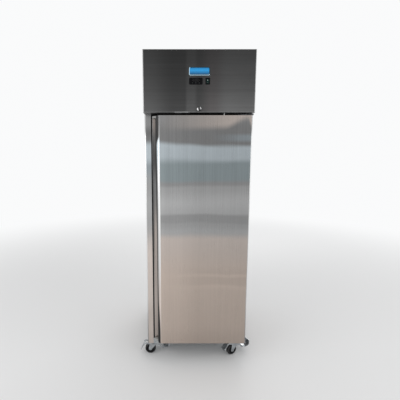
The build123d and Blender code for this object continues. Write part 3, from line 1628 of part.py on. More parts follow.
def make_parts():
    shelf = wire_shelf()
    parts = {
        "side_panel_left": side_panel(-1),
        "side_panel_right": side_panel(1),
        "base_panel": base_panel(),
        "back_panel": back_panel(),
        "deck_panel": deck_panel(),
        "cabinet_foam": cabinet_foam(),
        "inner_liner": inner_liner(),
        "breaker_frame": breaker_frame(),
        "top_cover": top_cover(),
        "rear_grille": rear_grille(),
        "cable_gland": cable_gland(),
        "fascia_panel": fascia_panel(),
        "badge": badge(),
        "controller_case": controller_case(),
        "display_window": display_window(),
        "key_set": key(0),
        "key_down": key(1),
        "key_up": key(2),
        "rocker_frame": rocker_frame(),
        "rocker": rocker(),
        "lock_housing": lock_housing(),
        "lock_plug": lock_plug(),
        "lock_cam": lock_cam(),
        "door_switch": door_switch(),
        "switch_plunger": switch_plunger(),
        "unit_tray": unit_tray(),
        "condenser_coil": condenser_coil(),
        "condenser_fan_motor": condenser_fan_motor(),
        "condenser_fan": condenser_fan(),
        "compressor": compressor(),
        "refrigerant_pipes": refrigerant_pipes(),
        "electrical_box": electrical_box(),
        "evaporator_cover": evaporator_cover(),
        "evaporator_coil": evaporator_coil(),
        "evaporator_fan_motor": evaporator_fan_motor(),
        "evaporator_fan": evaporator_fan(),
        "shelf_pilasters": shelf_pilasters(),
        "shelf_clips": shelf_clips(),
        "shelf_bottom": Pos(0, 0, shelf_heights[0]) * shelf,
        "shelf_middle": Pos(0, 0, shelf_heights[1]) * shelf,
        "shelf_top": Pos(0, 0, shelf_heights[2]) * shelf,
        "interior_lamp": interior_lamp(),
        "door_skin": door_skin(),
        "door_liner": door_liner(),
        "door_foam": door_foam(),
        "door_gasket": door_gasket(),
        "door_fittings": door_fittings(),
        "hinge_brackets": hinge_brackets(),
        "caster_plates": caster_plates(),
        "screws": screws(),
    }
    casters = [("front_left", front_left_yaw), ("front_right", front_right_yaw),
               ("back_left", back_left_yaw), ("back_right", back_right_yaw)]
    for index, (corner, yaw) in enumerate(casters):
        braked = corner.startswith("front")
        parts["fork_" + corner] = place_caster(caster_fork(braked), index, yaw)
        parts["wheel_" + corner] = place_caster(caster_wheel(), index, yaw)
        if braked:
            pressed = corner == "front_left"
            parts["pedal_" + corner] = place_caster(brake_pedal(pressed), index, yaw)
    return parts


os.makedirs("parts", exist_ok=True)
for name, part in make_parts().items():
    export_step(part, "parts/" + name + ".step")
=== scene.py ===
import json
from math import cos, pi, radians, sin

import bmesh
import bpy
from mathutils import Matrix, Vector


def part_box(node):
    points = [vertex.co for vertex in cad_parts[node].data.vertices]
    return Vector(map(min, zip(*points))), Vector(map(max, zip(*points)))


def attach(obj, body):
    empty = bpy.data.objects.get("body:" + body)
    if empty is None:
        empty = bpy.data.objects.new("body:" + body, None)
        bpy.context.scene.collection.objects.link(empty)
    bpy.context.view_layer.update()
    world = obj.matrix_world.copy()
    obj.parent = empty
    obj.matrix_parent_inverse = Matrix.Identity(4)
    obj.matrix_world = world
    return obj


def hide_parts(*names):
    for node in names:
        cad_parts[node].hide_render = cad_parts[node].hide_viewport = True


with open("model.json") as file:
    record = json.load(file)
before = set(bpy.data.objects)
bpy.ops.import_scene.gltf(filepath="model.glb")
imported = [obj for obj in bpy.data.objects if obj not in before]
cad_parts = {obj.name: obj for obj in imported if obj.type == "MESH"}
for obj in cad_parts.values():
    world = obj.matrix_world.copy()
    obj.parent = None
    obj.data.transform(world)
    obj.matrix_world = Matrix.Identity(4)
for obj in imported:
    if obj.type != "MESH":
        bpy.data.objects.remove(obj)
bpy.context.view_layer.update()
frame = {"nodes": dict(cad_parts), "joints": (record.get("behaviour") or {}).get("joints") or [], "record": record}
nodes = frame["nodes"]

# Upright storage refrigerator in metres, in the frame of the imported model: X to the right,
# the front faces -Y, Z up from the floor.

CAMERA_PLACE = (-0.128, -2.215, 1.392)
CAMERA_PITCH = radians(7.9)
CAMERA_LENS = 26.1
CAMERA_SHIFT = 0.055


# Places that follow from the frame

door_low, door_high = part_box("door_skin")
fascia_low, fascia_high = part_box("fascia_panel")
panel_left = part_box("side_panel_left")[0].x
post_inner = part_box("breaker_frame")[0].x
joints = {joint["name"]: joint for joint in frame["joints"]}

# The hand recess in the door's left edge: its width, its depth and the roll beside it
RECESS_WIDTH = 0.025
RECESS_DEPTH = 0.052
ROLL_RADIUS = 0.024
roll_start = door_low.x + RECESS_WIDTH
roll_end = roll_start + ROLL_RADIUS


# Materials

# The part of a noise's values that is stretched over what it drives
NOISE_MIDDLE = (0.3, 0.7)
# The normal's Y between which a surface turns away from the front
FRONT_TURN = (-0.98, -0.80)


class Graph:
    """A node material with one principled shader, built up by short calls."""

    def __init__(self, name, colour, roughness, metallic=0.0):
        self.material = bpy.data.materials.new(name)
        self.material.use_nodes = True
        self.tree = self.material.node_tree
        self.shader = self.tree.nodes["Principled BSDF"]
        self.base = rgba(colour)
        self.shader.inputs["Base Color"].default_value = self.base
        self.shader.inputs["Roughness"].default_value = roughness
        self.shader.inputs["Metallic"].default_value = metallic
        coordinates = self.add("ShaderNodeTexCoord")
        self.place = coordinates.outputs["Object"]
        self.normal = coordinates.outputs["Normal"]

    def add(self, kind, **settings):
        node = self.tree.nodes.new(kind)
        for name, value in settings.items():
            setattr(node, name, value)
        return node

    def link(self, source, target):
        self.tree.links.new(source, target)

    def put(self, value, target):
        """A socket is linked, and a number or colour is set."""
        if hasattr(value, "is_output"):
            self.link(value, target)
        else:
            target.default_value = value

    def axis(self, vector, name):
        split = self.add("ShaderNodeSeparateXYZ")
        self.link(vector, split.inputs[0])
        return split.outputs[name]

    def scaled(self, scale):
        """The place, scaled by one number or by one for each axis."""
        mapping = self.add("ShaderNodeMapping")
        self.link(self.place, mapping.inputs["Vector"])
        mapping.inputs["Scale"].default_value = scale if isinstance(scale, tuple) else (scale,) * 3
        return mapping.outputs["Vector"]

    def noise(self, scale, detail=2.0, distortion=0.0):
        """Noise with so many cells to a metre, the same or its own number along each axis."""
        texture = self.add("ShaderNodeTexNoise")
        self.link(self.scaled(scale), texture.inputs["Vector"])
        texture.inputs["Scale"].default_value = 1.0
        texture.inputs["Detail"].default_value = detail
        texture.inputs["Distortion"].default_value = distortion
        return texture.outputs["Fac"]

    def math(self, operation, first, second=0.0):
        node = self.add("ShaderNodeMath", operation=operation)
        self.put(first, node.inputs[0])
        self.put(second, node.inputs[1])
        return node.outputs[0]

    def span(self, value, low, high, to_low=0.0, to_high=1.0, smooth=False):
        node = self.add("ShaderNodeMapRange")
        if smooth:
            node.interpolation_type = "SMOOTHSTEP"
        self.put(value, node.inputs["Value"])
        node.inputs["From Min"].default_value = low
        node.inputs["From Max"].default_value = high
        node.inputs["To Min"].default_value = to_low
        node.inputs["To Max"].default_value = to_high
        return node.outputs["Result"]

    def spread(self, noise, low, high):
        """The middle of a noise, stretched between two numbers."""
        return self.span(noise, *NOISE_MIDDLE, low, high)

    def between(self, value, start, end, smooth=False):
        """Rises from 0 to 1 over the first pair of values and falls back over the second."""
        return self.math("MULTIPLY", self.span(value, *start, smooth=smooth),
                         self.span(value, *end, 1.0, 0.0, smooth=smooth))

    def front_facing(self):
        """1 where the surface faces the front, and 0 where it has turned away."""
        return self.span(self.axis(self.normal, "Y"), *FRONT_TURN, 1.0, 0.0)

    def ramp(self, factor, stops, interpolation="LINEAR"):
        node = self.add("ShaderNodeValToRGB")
        node.color_ramp.interpolation = interpolation
        elements = node.color_ramp.elements
        while len(elements) < len(stops):
            elements.new(0.5)
        for element, (place, colour) in zip(elements, stops):
            element.position = place
            element.color = rgba(colour)
        self.link(factor, node.inputs[0])
        return node.outputs["Color"]

    def mix(self, factor, first, second, blend="MIX"):
        node = self.add("ShaderNodeMix", data_type="RGBA", blend_type=blend)
        self.put(factor, node.inputs["Factor"])
        self.put(first, node.inputs[6])
        self.put(second, node.inputs[7])
        return node.outputs[2]

    def grey(self, value):
        """The same number in all three channels."""
        node = self.add("ShaderNodeCombineColor")
        for channel in node.inputs[:3]:
            self.link(value, channel)
        return node.outputs[0]

    def shaded(self, colour, value):
        """A colour times a number."""
        return self.mix(1.0, colour, self.grey(value), "MULTIPLY")

    def colour(self, source):
        self.link(source, self.shader.inputs["Base Color"])

    def shade(self, value):
        """The material's own colour times a number."""
        self.colour(self.shaded(self.base, value))

    def roughness(self, source):
        self.link(source, self.shader.inputs["Roughness"])

    def bump(self, height, strength, distance):
        node = self.add("ShaderNodeBump")
        node.inputs["Strength"].default_value = strength
        node.inputs["Distance"].default_value = distance
        self.link(height, node.inputs["Height"])
        self.link(node.outputs["Normal"], self.shader.inputs["Normal"])

    def set(self, socket, value):
        self.shader.inputs[socket].default_value = value


NEUTRAL = (1.0, 1.0, 1.0)
COOL = (0.91, 1.01, 1.07)
TEAL = (0.90, 1.04, 1.08)
WARM = (1.11, 0.98, 0.90)
WARMER = (1.16, 0.98, 0.86)
FAINT_RED = (1.04, 0.98, 0.98)


def rgba(colour):
    return (*colour, 1.0)


def tone(level, tint=NEUTRAL):
    return tuple(level * channel for channel in tint)


def flat(level, tint=NEUTRAL):
    """One tone as a socket's colour."""
    return rgba(tone(level, tint))


def tones(table):
    """Stops of a ramp from rows of place, brightness and, where it isn't grey, tint."""
    return [(place, tone(*colour)) for place, *colour in table]


def banded(graph, table, level, interpolation="EASE"):
    """The tones of a table of bands at a level."""
    low = table[0][0]
    high = table[-1][0]
    stops = [((z - low) / (high - low), *colour) for z, *colour in table]
    return graph.ramp(graph.span(level, low, high), tones(stops), interpolation)


VERTICAL_GRAIN = (1.0, 1.0, 0.004)
SIDEWAYS_GRAIN = (0.004, 1.0, 1.0)
# Streaks to a metre across the grain, and how much each kind lightens or darkens the steel
FINE_STREAKS = 900.0
FINE_CONTRAST = 0.09
BROAD_STREAKS = 130.0
BROAD_CONTRAST = 0.06
WIDE_STREAKS = 28.0
WIDE_CONTRAST = 0.03
GRAIN_BUMP = 0.10
GRAIN_DEPTH = 0.0002
SMUDGE_ROUGHNESS = 0.08


def brushed(name, colour, grain, roughness=0.30, contrast=1.0):
    """Brushed steel: fine and broad streaks along the grain, and faint smudges."""
    graph = Graph(name, colour, roughness, metallic=1.0)
    fine = graph.noise(tuple(FINE_STREAKS * g for g in grain), 3.0)
    broad = graph.noise(tuple(BROAD_STREAKS * g for g in grain), 2.0)
    wide = graph.noise(tuple(WIDE_STREAKS * g for g in grain), 1.0)
    smudge = graph.noise((7.0, 7.0, 5.0), 4.0, 0.6)
    fine_part = FINE_CONTRAST * contrast
    broad_part = BROAD_CONTRAST * contrast
    streak = graph.math("ADD", graph.spread(fine, -fine_part, fine_part),
                        graph.spread(broad, -broad_part, broad_part))
    streak = graph.math("ADD", streak, graph.spread(wide, -WIDE_CONTRAST, WIDE_CONTRAST))
    graph.streak = graph.math("ADD", streak, 1.0)
    rough = graph.math("ADD", graph.spread(fine, roughness - 0.05, roughness + 0.05),
                       graph.span(smudge, 0.45, 0.75, 0.0, SMUDGE_ROUGHNESS))
    graph.roughness(rough)
    graph.bump(fine, GRAIN_BUMP, GRAIN_DEPTH)
    graph.set("Anisotropic", 0.6)
    tangent = graph.add("ShaderNodeTangent", direction_type="RADIAL", axis="Z")
    graph.link(tangent.outputs[0], graph.shader.inputs["Tangent"])
    return graph


# Painted reflections of a room on the front faces, as height in metres, brightness and tint, for
# the door, the posts beside it, the floor of the hand recess and the painted highlight of the roll
DOOR_REFLECTION_BANDS = [
    (0.15, 0.39, WARMER),
    (0.30, 0.43, WARMER),
    (0.60, 0.445, WARMER),
    (0.87, 0.43, WARM),
    (0.935, 0.345),
    (0.985, 0.298),
    (1.005, 0.262),
    (1.040, 0.258),
    (1.060, 0.34),
    (1.115, 0.36),
    (1.21, 0.29),
    (1.24, 0.228),
    (1.275, 0.226, TEAL),
    (1.375, 0.226, TEAL),
    (1.43, 0.365, COOL),
    (1.495, 0.37, COOL),
    (1.53, 0.165),
    (1.57, 0.165),
    (1.64, 0.185),
]
POST_REFLECTION_BANDS = [
    (0.12, 0.53, WARM),
    (0.22, 0.59, WARM),
    (0.31, 0.57, WARM),
    (0.45, 0.65, WARM),
    (0.74, 0.65, WARM),
    (0.99, 0.41),
    (1.09, 0.43),
    (1.22, 0.36),
    (1.36, 0.33, COOL),
    (1.42, 0.51, COOL),
    (1.48, 0.50, COOL),
    (1.53, 0.19),
    (1.57, 0.16),
    (1.63, 0.245),
]
RECESS_REFLECTION_BANDS = [
    (0.15, 0.38, WARM),
    (0.40, 0.47, WARM),
    (0.86, 0.43, WARM),
    (1.20, 0.21),
    (1.42, 0.09),
    (1.53, 0.13),
    (1.63, 0.22, WARM),
]
ROLL_HIGHLIGHT_BANDS = [
    (0.15, 0.56, WARM),
    (0.45, 0.84, WARM),
    (0.75, 0.96),
    (1.05, 0.98),
    (1.25, 0.84),
    (1.47, 0.78, COOL),
    (1.55, 0.34),
    (1.65, 0.30),
]

# The door's painted reflection bands waver, lean where they are high, and fade to the right. Its
# sides are shares of its width from the left.
BAND_WAVES = (1.6, 1.6, 3.5)
BAND_SWAY = 0.02
MIDDLE_LEVELS = (1.35, 1.5)
MIDDLE_LEAN = 0.04
TOP_LEVELS = (1.53, 1.57)
TOP_LEAN = -0.06
DOOR_FALL = [(0.0, 1.25), (0.22, 1.16), (0.5, 1.0), (1.0, 0.93)]
STREAK_LEVELS = (1.0, 1.3)
STREAK_STRENGTH = (0.35, 0.9)

# Faint light and dark painted reflection lines low on the door, growing over this part of its width
DOOR_REFLECTION_LINES = [(0.53, 1.0), (0.56, 1.05), (0.58, 0.95), (0.62, 0.94), (0.638, 1.06),
                (0.655, 0.94), (0.70, 1.0)]
REFLECTION_LINE_SIDE = (0.10, 0.60)

# A cool glimmer of painted reflection near the top at the right
GLIMMER_SIDE = (0.60, 0.92)
GLIMMER_START = (1.495, 1.515)
GLIMMER_END = (1.535, 1.555)
GLIMMER_TONE = 0.215

# Painted reflection: a warm patch along the top, and a dark tongue rising into it by the door's right edge
REFLECTED_PATCH_SIDE = (0.05, 0.80)
REFLECTED_PATCH_EDGE = (1.550, 1.598)
REFLECTED_PATCH_LEAN = 0.02
REFLECTED_PATCH_TONE = 0.33
TONGUE_START = (0.72, 0.95)
TONGUE_END = (0.955, 0.995)
TONGUE_RISE = 0.05


def door_front(graph, side, height, swayed):
    """The painted reflections across the door's flat front."""
    lean = graph.math("MULTIPLY", side, graph.math(
        "ADD", graph.span(height, *MIDDLE_LEVELS, 0.0, MIDDLE_LEAN),
        graph.span(height, *TOP_LEVELS, 0.0, TOP_LEAN)))
    leaning = graph.math("ADD", swayed, lean)
    falling = graph.ramp(side, tones(DOOR_FALL), "EASE")
    door = graph.mix(1.0, banded(graph, DOOR_REFLECTION_BANDS, leaning), falling, "MULTIPLY")
    reflection_lines = graph.mix(graph.span(side, *REFLECTION_LINE_SIDE), flat(1.0),
                        banded(graph, DOOR_REFLECTION_LINES, leaning, "LINEAR"))
    door = graph.mix(1.0, door, reflection_lines, "MULTIPLY")
    glimmer = graph.math("MULTIPLY", graph.span(side, *GLIMMER_SIDE),
                         graph.between(height, GLIMMER_START, GLIMMER_END))
    door = graph.mix(glimmer, door, flat(GLIMMER_TONE, COOL))
    tongue = graph.between(side, TONGUE_START, TONGUE_END, smooth=True)
    rise = graph.math("ADD", graph.math("MULTIPLY", side, REFLECTED_PATCH_LEAN),
                      graph.math("MULTIPLY", tongue, TONGUE_RISE))
    reflected_patch = graph.math("MULTIPLY", graph.span(side, *REFLECTED_PATCH_SIDE),
                       graph.span(graph.math("SUBTRACT", height, rise), *REFLECTED_PATCH_EDGE, smooth=True))
    return graph.mix(reflected_patch, door, flat(REFLECTED_PATCH_TONE, WARM))


# Painted shade: the recess darkens towards the roll and, between two heights, at its far left.
RECESS_SHADE_TONE = 0.05
ROLL_SHADE = (0.010, 0.003)
ROLL_SHADE_LEVELS = (0.9, 1.4)
FAR_SHADE = (0.004, 0.009)
FAR_SHADE_STRENGTH = 0.75
FAR_SHADE_START = (0.5, 0.9)
FAR_SHADE_END = (1.50, 1.55)
# The recess's floor begins so far before its full depth.
RECESS_EDGE = (0.012, 0.008)


def recess_floor(graph, across, height, swayed):
    """The painted reflections and painted shade in the floor of the hand recess."""
    near, nearer = ROLL_SHADE
    shade = graph.math("MULTIPLY", graph.span(across, roll_start - near, roll_start - nearer),
                       graph.span(height, *ROLL_SHADE_LEVELS))
    first, last = FAR_SHADE
    far_shade = graph.math(
        "MULTIPLY",
        graph.span(across, door_low.x + first, door_low.x + last, FAR_SHADE_STRENGTH, 0.0),
        graph.between(height, FAR_SHADE_START, FAR_SHADE_END))
    shade = graph.math("MAXIMUM", shade, far_shade)
    return graph.mix(shade, banded(graph, RECESS_REFLECTION_BANDS, swayed), flat(RECESS_SHADE_TONE))


# Painted highlights: bright lines along the outer folds of the cabinet and, fainter, of the door
LINE_WIDTH = 0.005
LINE_SOFT = 0.002
HIGHLIGHT_LINE_TONE = 0.80
DOOR_LINE_STRENGTH = 0.6
LINE_START = (0.24, 0.45)
LINE_END = (1.535, 1.575)
LINE_TURN = (-0.30, -0.10)


def with_highlight_lines(graph, base, across, height):
    left = panel_left + LINE_WIDTH
    right = door_high.x - LINE_WIDTH
    lines = graph.math("MAXIMUM", graph.span(across, left, left + LINE_SOFT, 1.0, 0.0),
                       graph.span(across, right - LINE_SOFT, right, 0.0, DOOR_LINE_STRENGTH))
    lines = graph.math("MULTIPLY", lines, graph.between(height, LINE_START, LINE_END))
    lines = graph.math("MULTIPLY", lines,
                       graph.span(graph.axis(graph.normal, "Y"), *LINE_TURN, 1.0, 0.0))
    return graph.mix(lines, base, flat(HIGHLIGHT_LINE_TONE))


# How far round the roll the painted light reaches at each height: 0 at its front, 1 at its left side
ROLL_REACH = [(0.15, 0.26), (0.24, 0.26), (0.36, 0.45), (0.45, 0.66), (0.60, 0.74), (1.10, 0.70),
              (1.30, 0.74), (1.38, 0.82), (1.49, 0.92), (1.53, 0.30), (1.65, 0.24)]
ROLL_SOFT = 0.10
ROLL_SHADE_TONE = 0.035
ROLL_TURN = (0.15, 0.85)
ROLL_DIM = 0.42
ROLL_EDGE = (0.002, 0.001)
ROLL_START_TURN = (0.03, 0.10)


def with_roll(graph, base, across, height):
    """The round roll beside the hand recess: a painted highlight at its front and painted shade further round."""
    leftward = graph.math("MULTIPLY", graph.axis(graph.normal, "X"), -1.0)
    reach = graph.axis(banded(graph, ROLL_REACH, height, "LINEAR"), "X")
    lit = graph.span(graph.math("SUBTRACT", reach, leftward), -ROLL_SOFT, ROLL_SOFT, smooth=True)
    # The painted highlight on the roll, dimmed further round it
    glow = graph.shaded(banded(graph, ROLL_HIGHLIGHT_BANDS, height),
                        graph.span(leftward, *ROLL_TURN, 1.0, ROLL_DIM))
    roll = graph.mix(lit, flat(ROLL_SHADE_TONE), glow)
    wide, narrow = ROLL_EDGE
    on_roll = graph.between(across, (roll_start - wide, roll_start - narrow),
                            (roll_end - wide, roll_end))
    on_roll = graph.math("MULTIPLY", on_roll, graph.span(leftward, *ROLL_START_TURN))
    return graph.mix(on_roll, base, roll)


STEEL_TONE = 0.42
# Painted reflection on faces that don't face the front, from low to high, and painted shade on the folds between
SIDE_LEVELS = (0.1, 2.0)
SIDE_TONES = [(0.0, 0.40, WARM), (1.0, 0.46, COOL)]
FOLD_SHADE_TONE = 0.30
FOLD_START = (0.15, 0.35)
FOLD_END = (0.90, 0.98)


def stainless(name):
    """Door and cabinet steel, whose front faces show soft level bands of a room as painted reflections, with
    painted highlights and painted shade.
    """
    graph = brushed(name, tone(STEEL_TONE), VERTICAL_GRAIN)
    height = graph.axis(graph.place, "Z")
    across = graph.axis(graph.place, "X")
    depth = graph.axis(graph.place, "Y")
    side = graph.span(across, door_low.x, door_high.x)
    sway = graph.spread(graph.noise(BAND_WAVES, 2.0), -BAND_SWAY, BAND_SWAY)
    swayed = graph.math("ADD", height, sway)
    floor_y = door_low.y + RECESS_DEPTH
    in_recess = graph.span(depth, floor_y - RECESS_EDGE[0], floor_y - RECESS_EDGE[1])
    door = graph.mix(in_recess, door_front(graph, side, height, swayed),
                     recess_floor(graph, across, height, swayed))
    post_end = (post_inner + door_low.x) / 2
    post = graph.span(across, post_inner, post_end, 1.0, 0.0)
    front = graph.mix(post, door, banded(graph, POST_REFLECTION_BANDS, swayed))
    sides = graph.ramp(graph.span(height, *SIDE_LEVELS), tones(SIDE_TONES))
    base = graph.mix(graph.front_facing(), sides, front)
    sideways = graph.math("ABSOLUTE", graph.axis(graph.normal, "X"))
    base = graph.mix(graph.between(sideways, FOLD_START, FOLD_END), base, flat(FOLD_SHADE_TONE))
    base = with_highlight_lines(graph, base, across, height)
    base = with_roll(graph, base, across, height)
    streak = graph.math("MULTIPLY", graph.math("SUBTRACT", graph.streak, 1.0),
                        graph.span(height, *STREAK_LEVELS, *STREAK_STRENGTH))
    graph.colour(graph.shaded(base, graph.math("ADD", streak, 1.0)))
    return graph.material


# Near black, painted as shade on the deck's front strip
DECK_PAINTED_SHADE = 0.008


def stainless_painted_shade(name):
    """Steel of the deck, whose front strip behind the gap above the door is painted near black as shade."""
    graph = brushed(name, tone(STEEL_TONE), VERTICAL_GRAIN)
    base = graph.mix(graph.front_facing(), flat(STEEL_TONE), flat(DECK_PAINTED_SHADE))
    graph.colour(graph.shaded(base, graph.streak))
    return graph.material


# Painted reflections on the fascia: its tone by share of its height, and the columns over it by share of its width
FASCIA_RISE = [(0.0, 0.095), (0.45, 0.057), (1.0, 0.037)]
FASCIA_COLUMNS = [(0.03, 1.12), (0.28, 0.65), (0.37, 0.66), (0.40, 1.00), (0.45, 1.02),
                  (0.49, 0.74), (0.62, 1.12, FAINT_RED), (0.75, 1.45), (1.0, 1.30)]
# The columns fade by this much at the top.
COLUMN_FADE = 0.35
# Painted highlights on the fascia's rounded edges, brightest on the stretch of its lower edge that catches the
# light
EDGE_HIGHLIGHT_TONE = 0.36
SIDE_EDGE_TURN = (0.15, 0.45)
LOWER_EDGE_TURN = (0.2, 0.6)
LOWER_EDGE_STRENGTH = 0.85
CATCHING_TONE = 0.90
CATCHING_START = (0.27, 0.29)
CATCHING_END = (0.40, 0.42)


def stainless_dark(name):
    """Fascia steel: darker, with painted reflections brighter towards its lower right, and painted highlights on
    its rounded edges.
    """
    graph = brushed(name, tone(0.07), SIDEWAYS_GRAIN, 0.34, 0.7)
    height = graph.span(graph.axis(graph.place, "Z"), fascia_low.z, fascia_high.z)
    side = graph.span(graph.axis(graph.place, "X"), fascia_low.x, fascia_high.x)
    rise = graph.ramp(height, tones(FASCIA_RISE))
    columns = graph.ramp(side, tones(FASCIA_COLUMNS), "EASE")
    columns = graph.mix(graph.math("MULTIPLY", height, COLUMN_FADE), columns, flat(1.0))
    base = graph.mix(1.0, rise, columns, "MULTIPLY")
    sideways = graph.math("ABSOLUTE", graph.axis(graph.normal, "X"))
    down = graph.math("MULTIPLY", graph.axis(graph.normal, "Z"), -1.0)
    edge = graph.math("MAXIMUM", graph.span(sideways, *SIDE_EDGE_TURN),
                      graph.span(down, *LOWER_EDGE_TURN, 0.0, LOWER_EDGE_STRENGTH))
    catching = graph.between(side, CATCHING_START, CATCHING_END)
    folds = graph.mix(catching, flat(EDGE_HIGHLIGHT_TONE), flat(CATCHING_TONE))
    graph.colour(graph.shaded(graph.mix(edge, base, folds), graph.streak))
    return graph.material


def stainless_bright(name):
    graph = brushed(name, tone(0.58), VERTICAL_GRAIN, 0.26, 0.6)
    graph.shade(graph.streak)
    return graph.material


def galvanised(name):
    """Zinc coated sheet with its crystal pattern."""
    graph = Graph(name, (0.42, 0.44, 0.45), 0.42, metallic=1.0)
    cells = graph.add("ShaderNodeTexVoronoi")
    graph.link(graph.scaled(90.0), cells.inputs["Vector"])
    cells.inputs["Scale"].default_value = 1.0
    crystal = graph.axis(cells.outputs["Color"], "X")
    cloud = graph.noise(6.0, 4.0)
    graph.shade(graph.math("ADD", graph.span(crystal, 0.0, 1.0, 0.88, 1.08),
                           graph.spread(cloud, -0.05, 0.05)))
    graph.roughness(graph.span(crystal, 0.0, 1.0, 0.32, 0.5))
    return graph.material


def zinc(name, dull, bright):
    """Zinc plate between two tones, dulled in patches."""
    graph = Graph(name, bright, 0.28, metallic=1.0)
    cloud = graph.noise(45.0, 5.0, 0.4)
    grain = graph.noise(600.0, 2.0)
    graph.colour(graph.ramp(cloud, list(zip(NOISE_MIDDLE, (dull, bright)))))
    graph.roughness(graph.spread(cloud, 0.38, 0.22))
    graph.bump(grain, 0.12, 0.0001)
    return graph.material


CHROME_TONE = 0.80


def chromed(name, roughness, smoothest, roughest):
    """The graph of a chromed part, whose polish drifts between two roughnesses."""
    graph = Graph(name, tone(CHROME_TONE), roughness, metallic=1.0)
    graph.roughness(graph.spread(graph.noise(80.0, 3.0), smoothest, roughest))
    return graph


def chrome(name, front=CHROME_TONE):
    """Chrome, whose faces to the front may show a darker room as a painted reflection."""
    graph = chromed(name, 0.08, 0.05, 0.13)
    turned = graph.span(graph.axis(graph.normal, "Y"), -0.97, -0.80)
    graph.colour(graph.mix(turned, flat(front), flat(CHROME_TONE)))
    return graph.material


BADGE_RIM = 0.004
# Painted on the badge's rim: a dark reflection, and a highlight along its left and lower side
RIM_DARK_REFLECTION = (0.03, 0.09, 0.13)
RIM_HIGHLIGHT = (0.55, 0.76, 0.85)


def badge_chrome(name):
    """Chrome of the badge's rim: a painted dark reflection, with a painted highlight along its left and its lower
    side.
    """
    graph = chromed(name, 0.14, 0.10, 0.20)
    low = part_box("badge")[0]
    left, lower = [graph.span(graph.axis(graph.place, direction), edge + BADGE_RIM,
                              edge + 2 * BADGE_RIM, 1.0, 0.0)
                   for direction, edge in (("X", low.x), ("Z", low.z))]
    graph.colour(graph.mix(graph.math("MAXIMUM", left, lower), rgba(RIM_DARK_REFLECTION), rgba(RIM_HIGHLIGHT)))
    return graph.material


def middle(low, high):
    """X and Z of the middle of a box."""
    return (low.x + high.x) / 2, (low.z + high.z) / 2


# The lock's ring: a painted dark reflection, a painted highlight crescent at its left and a glint at its right,
# from its middle
LOCK_DARK_REFLECTION = 0.03
CRESCENT_X = (-0.005, -0.002)
CRESCENT_Z = (0.002, 0.007)
CRESCENT_TONE = 0.85
GLINT_X = (0.003, 0.006)
GLINT_Z = (-0.006, 0.0)
GLINT_TONE = 0.55


def lock_chrome(name):
    """Chrome of the lock's ring, a painted dark reflection but for its painted highlights, the crescent and the
    glint.
    """
    graph = chromed(name, 0.12, 0.08, 0.16)
    middle_x, middle_z = middle(*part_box("lock_housing"))
    across = graph.math("SUBTRACT", graph.axis(graph.place, "X"), middle_x)
    up = graph.math("SUBTRACT", graph.axis(graph.place, "Z"), middle_z)
    crescent = graph.math("MULTIPLY", graph.span(across, *CRESCENT_X, CRESCENT_TONE, 0.0),
                          graph.span(up, *CRESCENT_Z, 1.0, 0.0))
    glint = graph.math("MULTIPLY", graph.span(across, *GLINT_X, 0.0, GLINT_TONE),
                      graph.span(up, *GLINT_Z))
    graph.colour(graph.grey(graph.math("ADD", graph.math("MAXIMUM", crescent, glint), LOCK_DARK_REFLECTION)))
    return graph.material


def moulded(name, colour, roughness, drift=0.12, specular=0.5):
    """Moulded plastic with a fine surface grain and slight colour drift."""
    graph = Graph(name, colour, roughness)
    graph.set("Specular IOR Level", specular)
    grain = graph.noise(900.0, 2.0)
    graph.shade(graph.spread(graph.noise(25.0, 3.0), 1.0 - drift, 1.0 + drift))
    graph.roughness(graph.spread(grain, roughness - 0.06, roughness + 0.06))
    graph.bump(grain, 0.15, 0.0001)
    return graph.material


BADGE_BLUES = [(0.12, (0.0, 0.07, 0.17)), (0.35, (0.001, 0.19, 0.46)),
               (0.60, (0.010, 0.32, 0.72)), (1.0, (0.001, 0.20, 0.48))]


def badge_enamel(name):
    """Bare glossy blue, lighter above its middle."""
    graph = Graph(name, (0.004, 0.22, 0.62), 0.2)
    low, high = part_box("badge")
    height = graph.span(graph.axis(graph.place, "Z"), low.z, high.z)
    graph.colour(graph.ramp(height, BADGE_BLUES, "EASE"))
    graph.set("Specular IOR Level", 0.3)
    graph.set("Coat Weight", 0.3)
    graph.set("Coat Roughness", 0.04)
    return graph.material


def smoked_window(name):
    graph = Graph(name, (0.03, 0.03, 0.035), 0.06)
    graph.roughness(graph.spread(graph.noise(60.0, 3.0), 0.04, 0.10))
    graph.set("Transmission Weight", 0.85)
    graph.set("IOR", 1.25)
    return graph.material


def enamel(name, colour, roughness):
    """Sprayed gloss paint with slight orange peel."""
    graph = Graph(name, colour, roughness)
    graph.shade(graph.spread(graph.noise(12.0, 3.0), 0.9, 1.1))
    graph.bump(graph.noise(350.0, 2.0), 0.12, 0.0002)
    graph.set("Coat Weight", 0.6)
    graph.set("Coat Roughness", 0.12)
    return graph.material


def fins(name):
    graph = Graph(name, (0.55, 0.56, 0.57), 0.38, metallic=1.0)
    graph.shade(graph.spread(graph.noise((260.0, 30.0, 8.0), 2.0), 0.82, 1.1))
    return graph.material


def copper(name):
    """Copper pipe, stained in patches."""
    graph = Graph(name, (0.62, 0.27, 0.15), 0.30, metallic=1.0)
    stain = graph.noise(30.0, 4.0, 0.8)
    graph.colour(graph.ramp(stain, [(0.3, (0.38, 0.16, 0.09)), (0.6, (0.68, 0.31, 0.18))]))
    graph.roughness(graph.spread(stain, 0.42, 0.24))
    return graph.material


def foam(name):
    graph = Graph(name, (0.72, 0.62, 0.36), 0.9)
    cells = graph.noise(400.0, 3.0)
    graph.shade(graph.spread(cells, 0.85, 1.08))
    graph.bump(cells, 0.4, 0.0005)
    return graph.material


DUST_TONE = 0.035


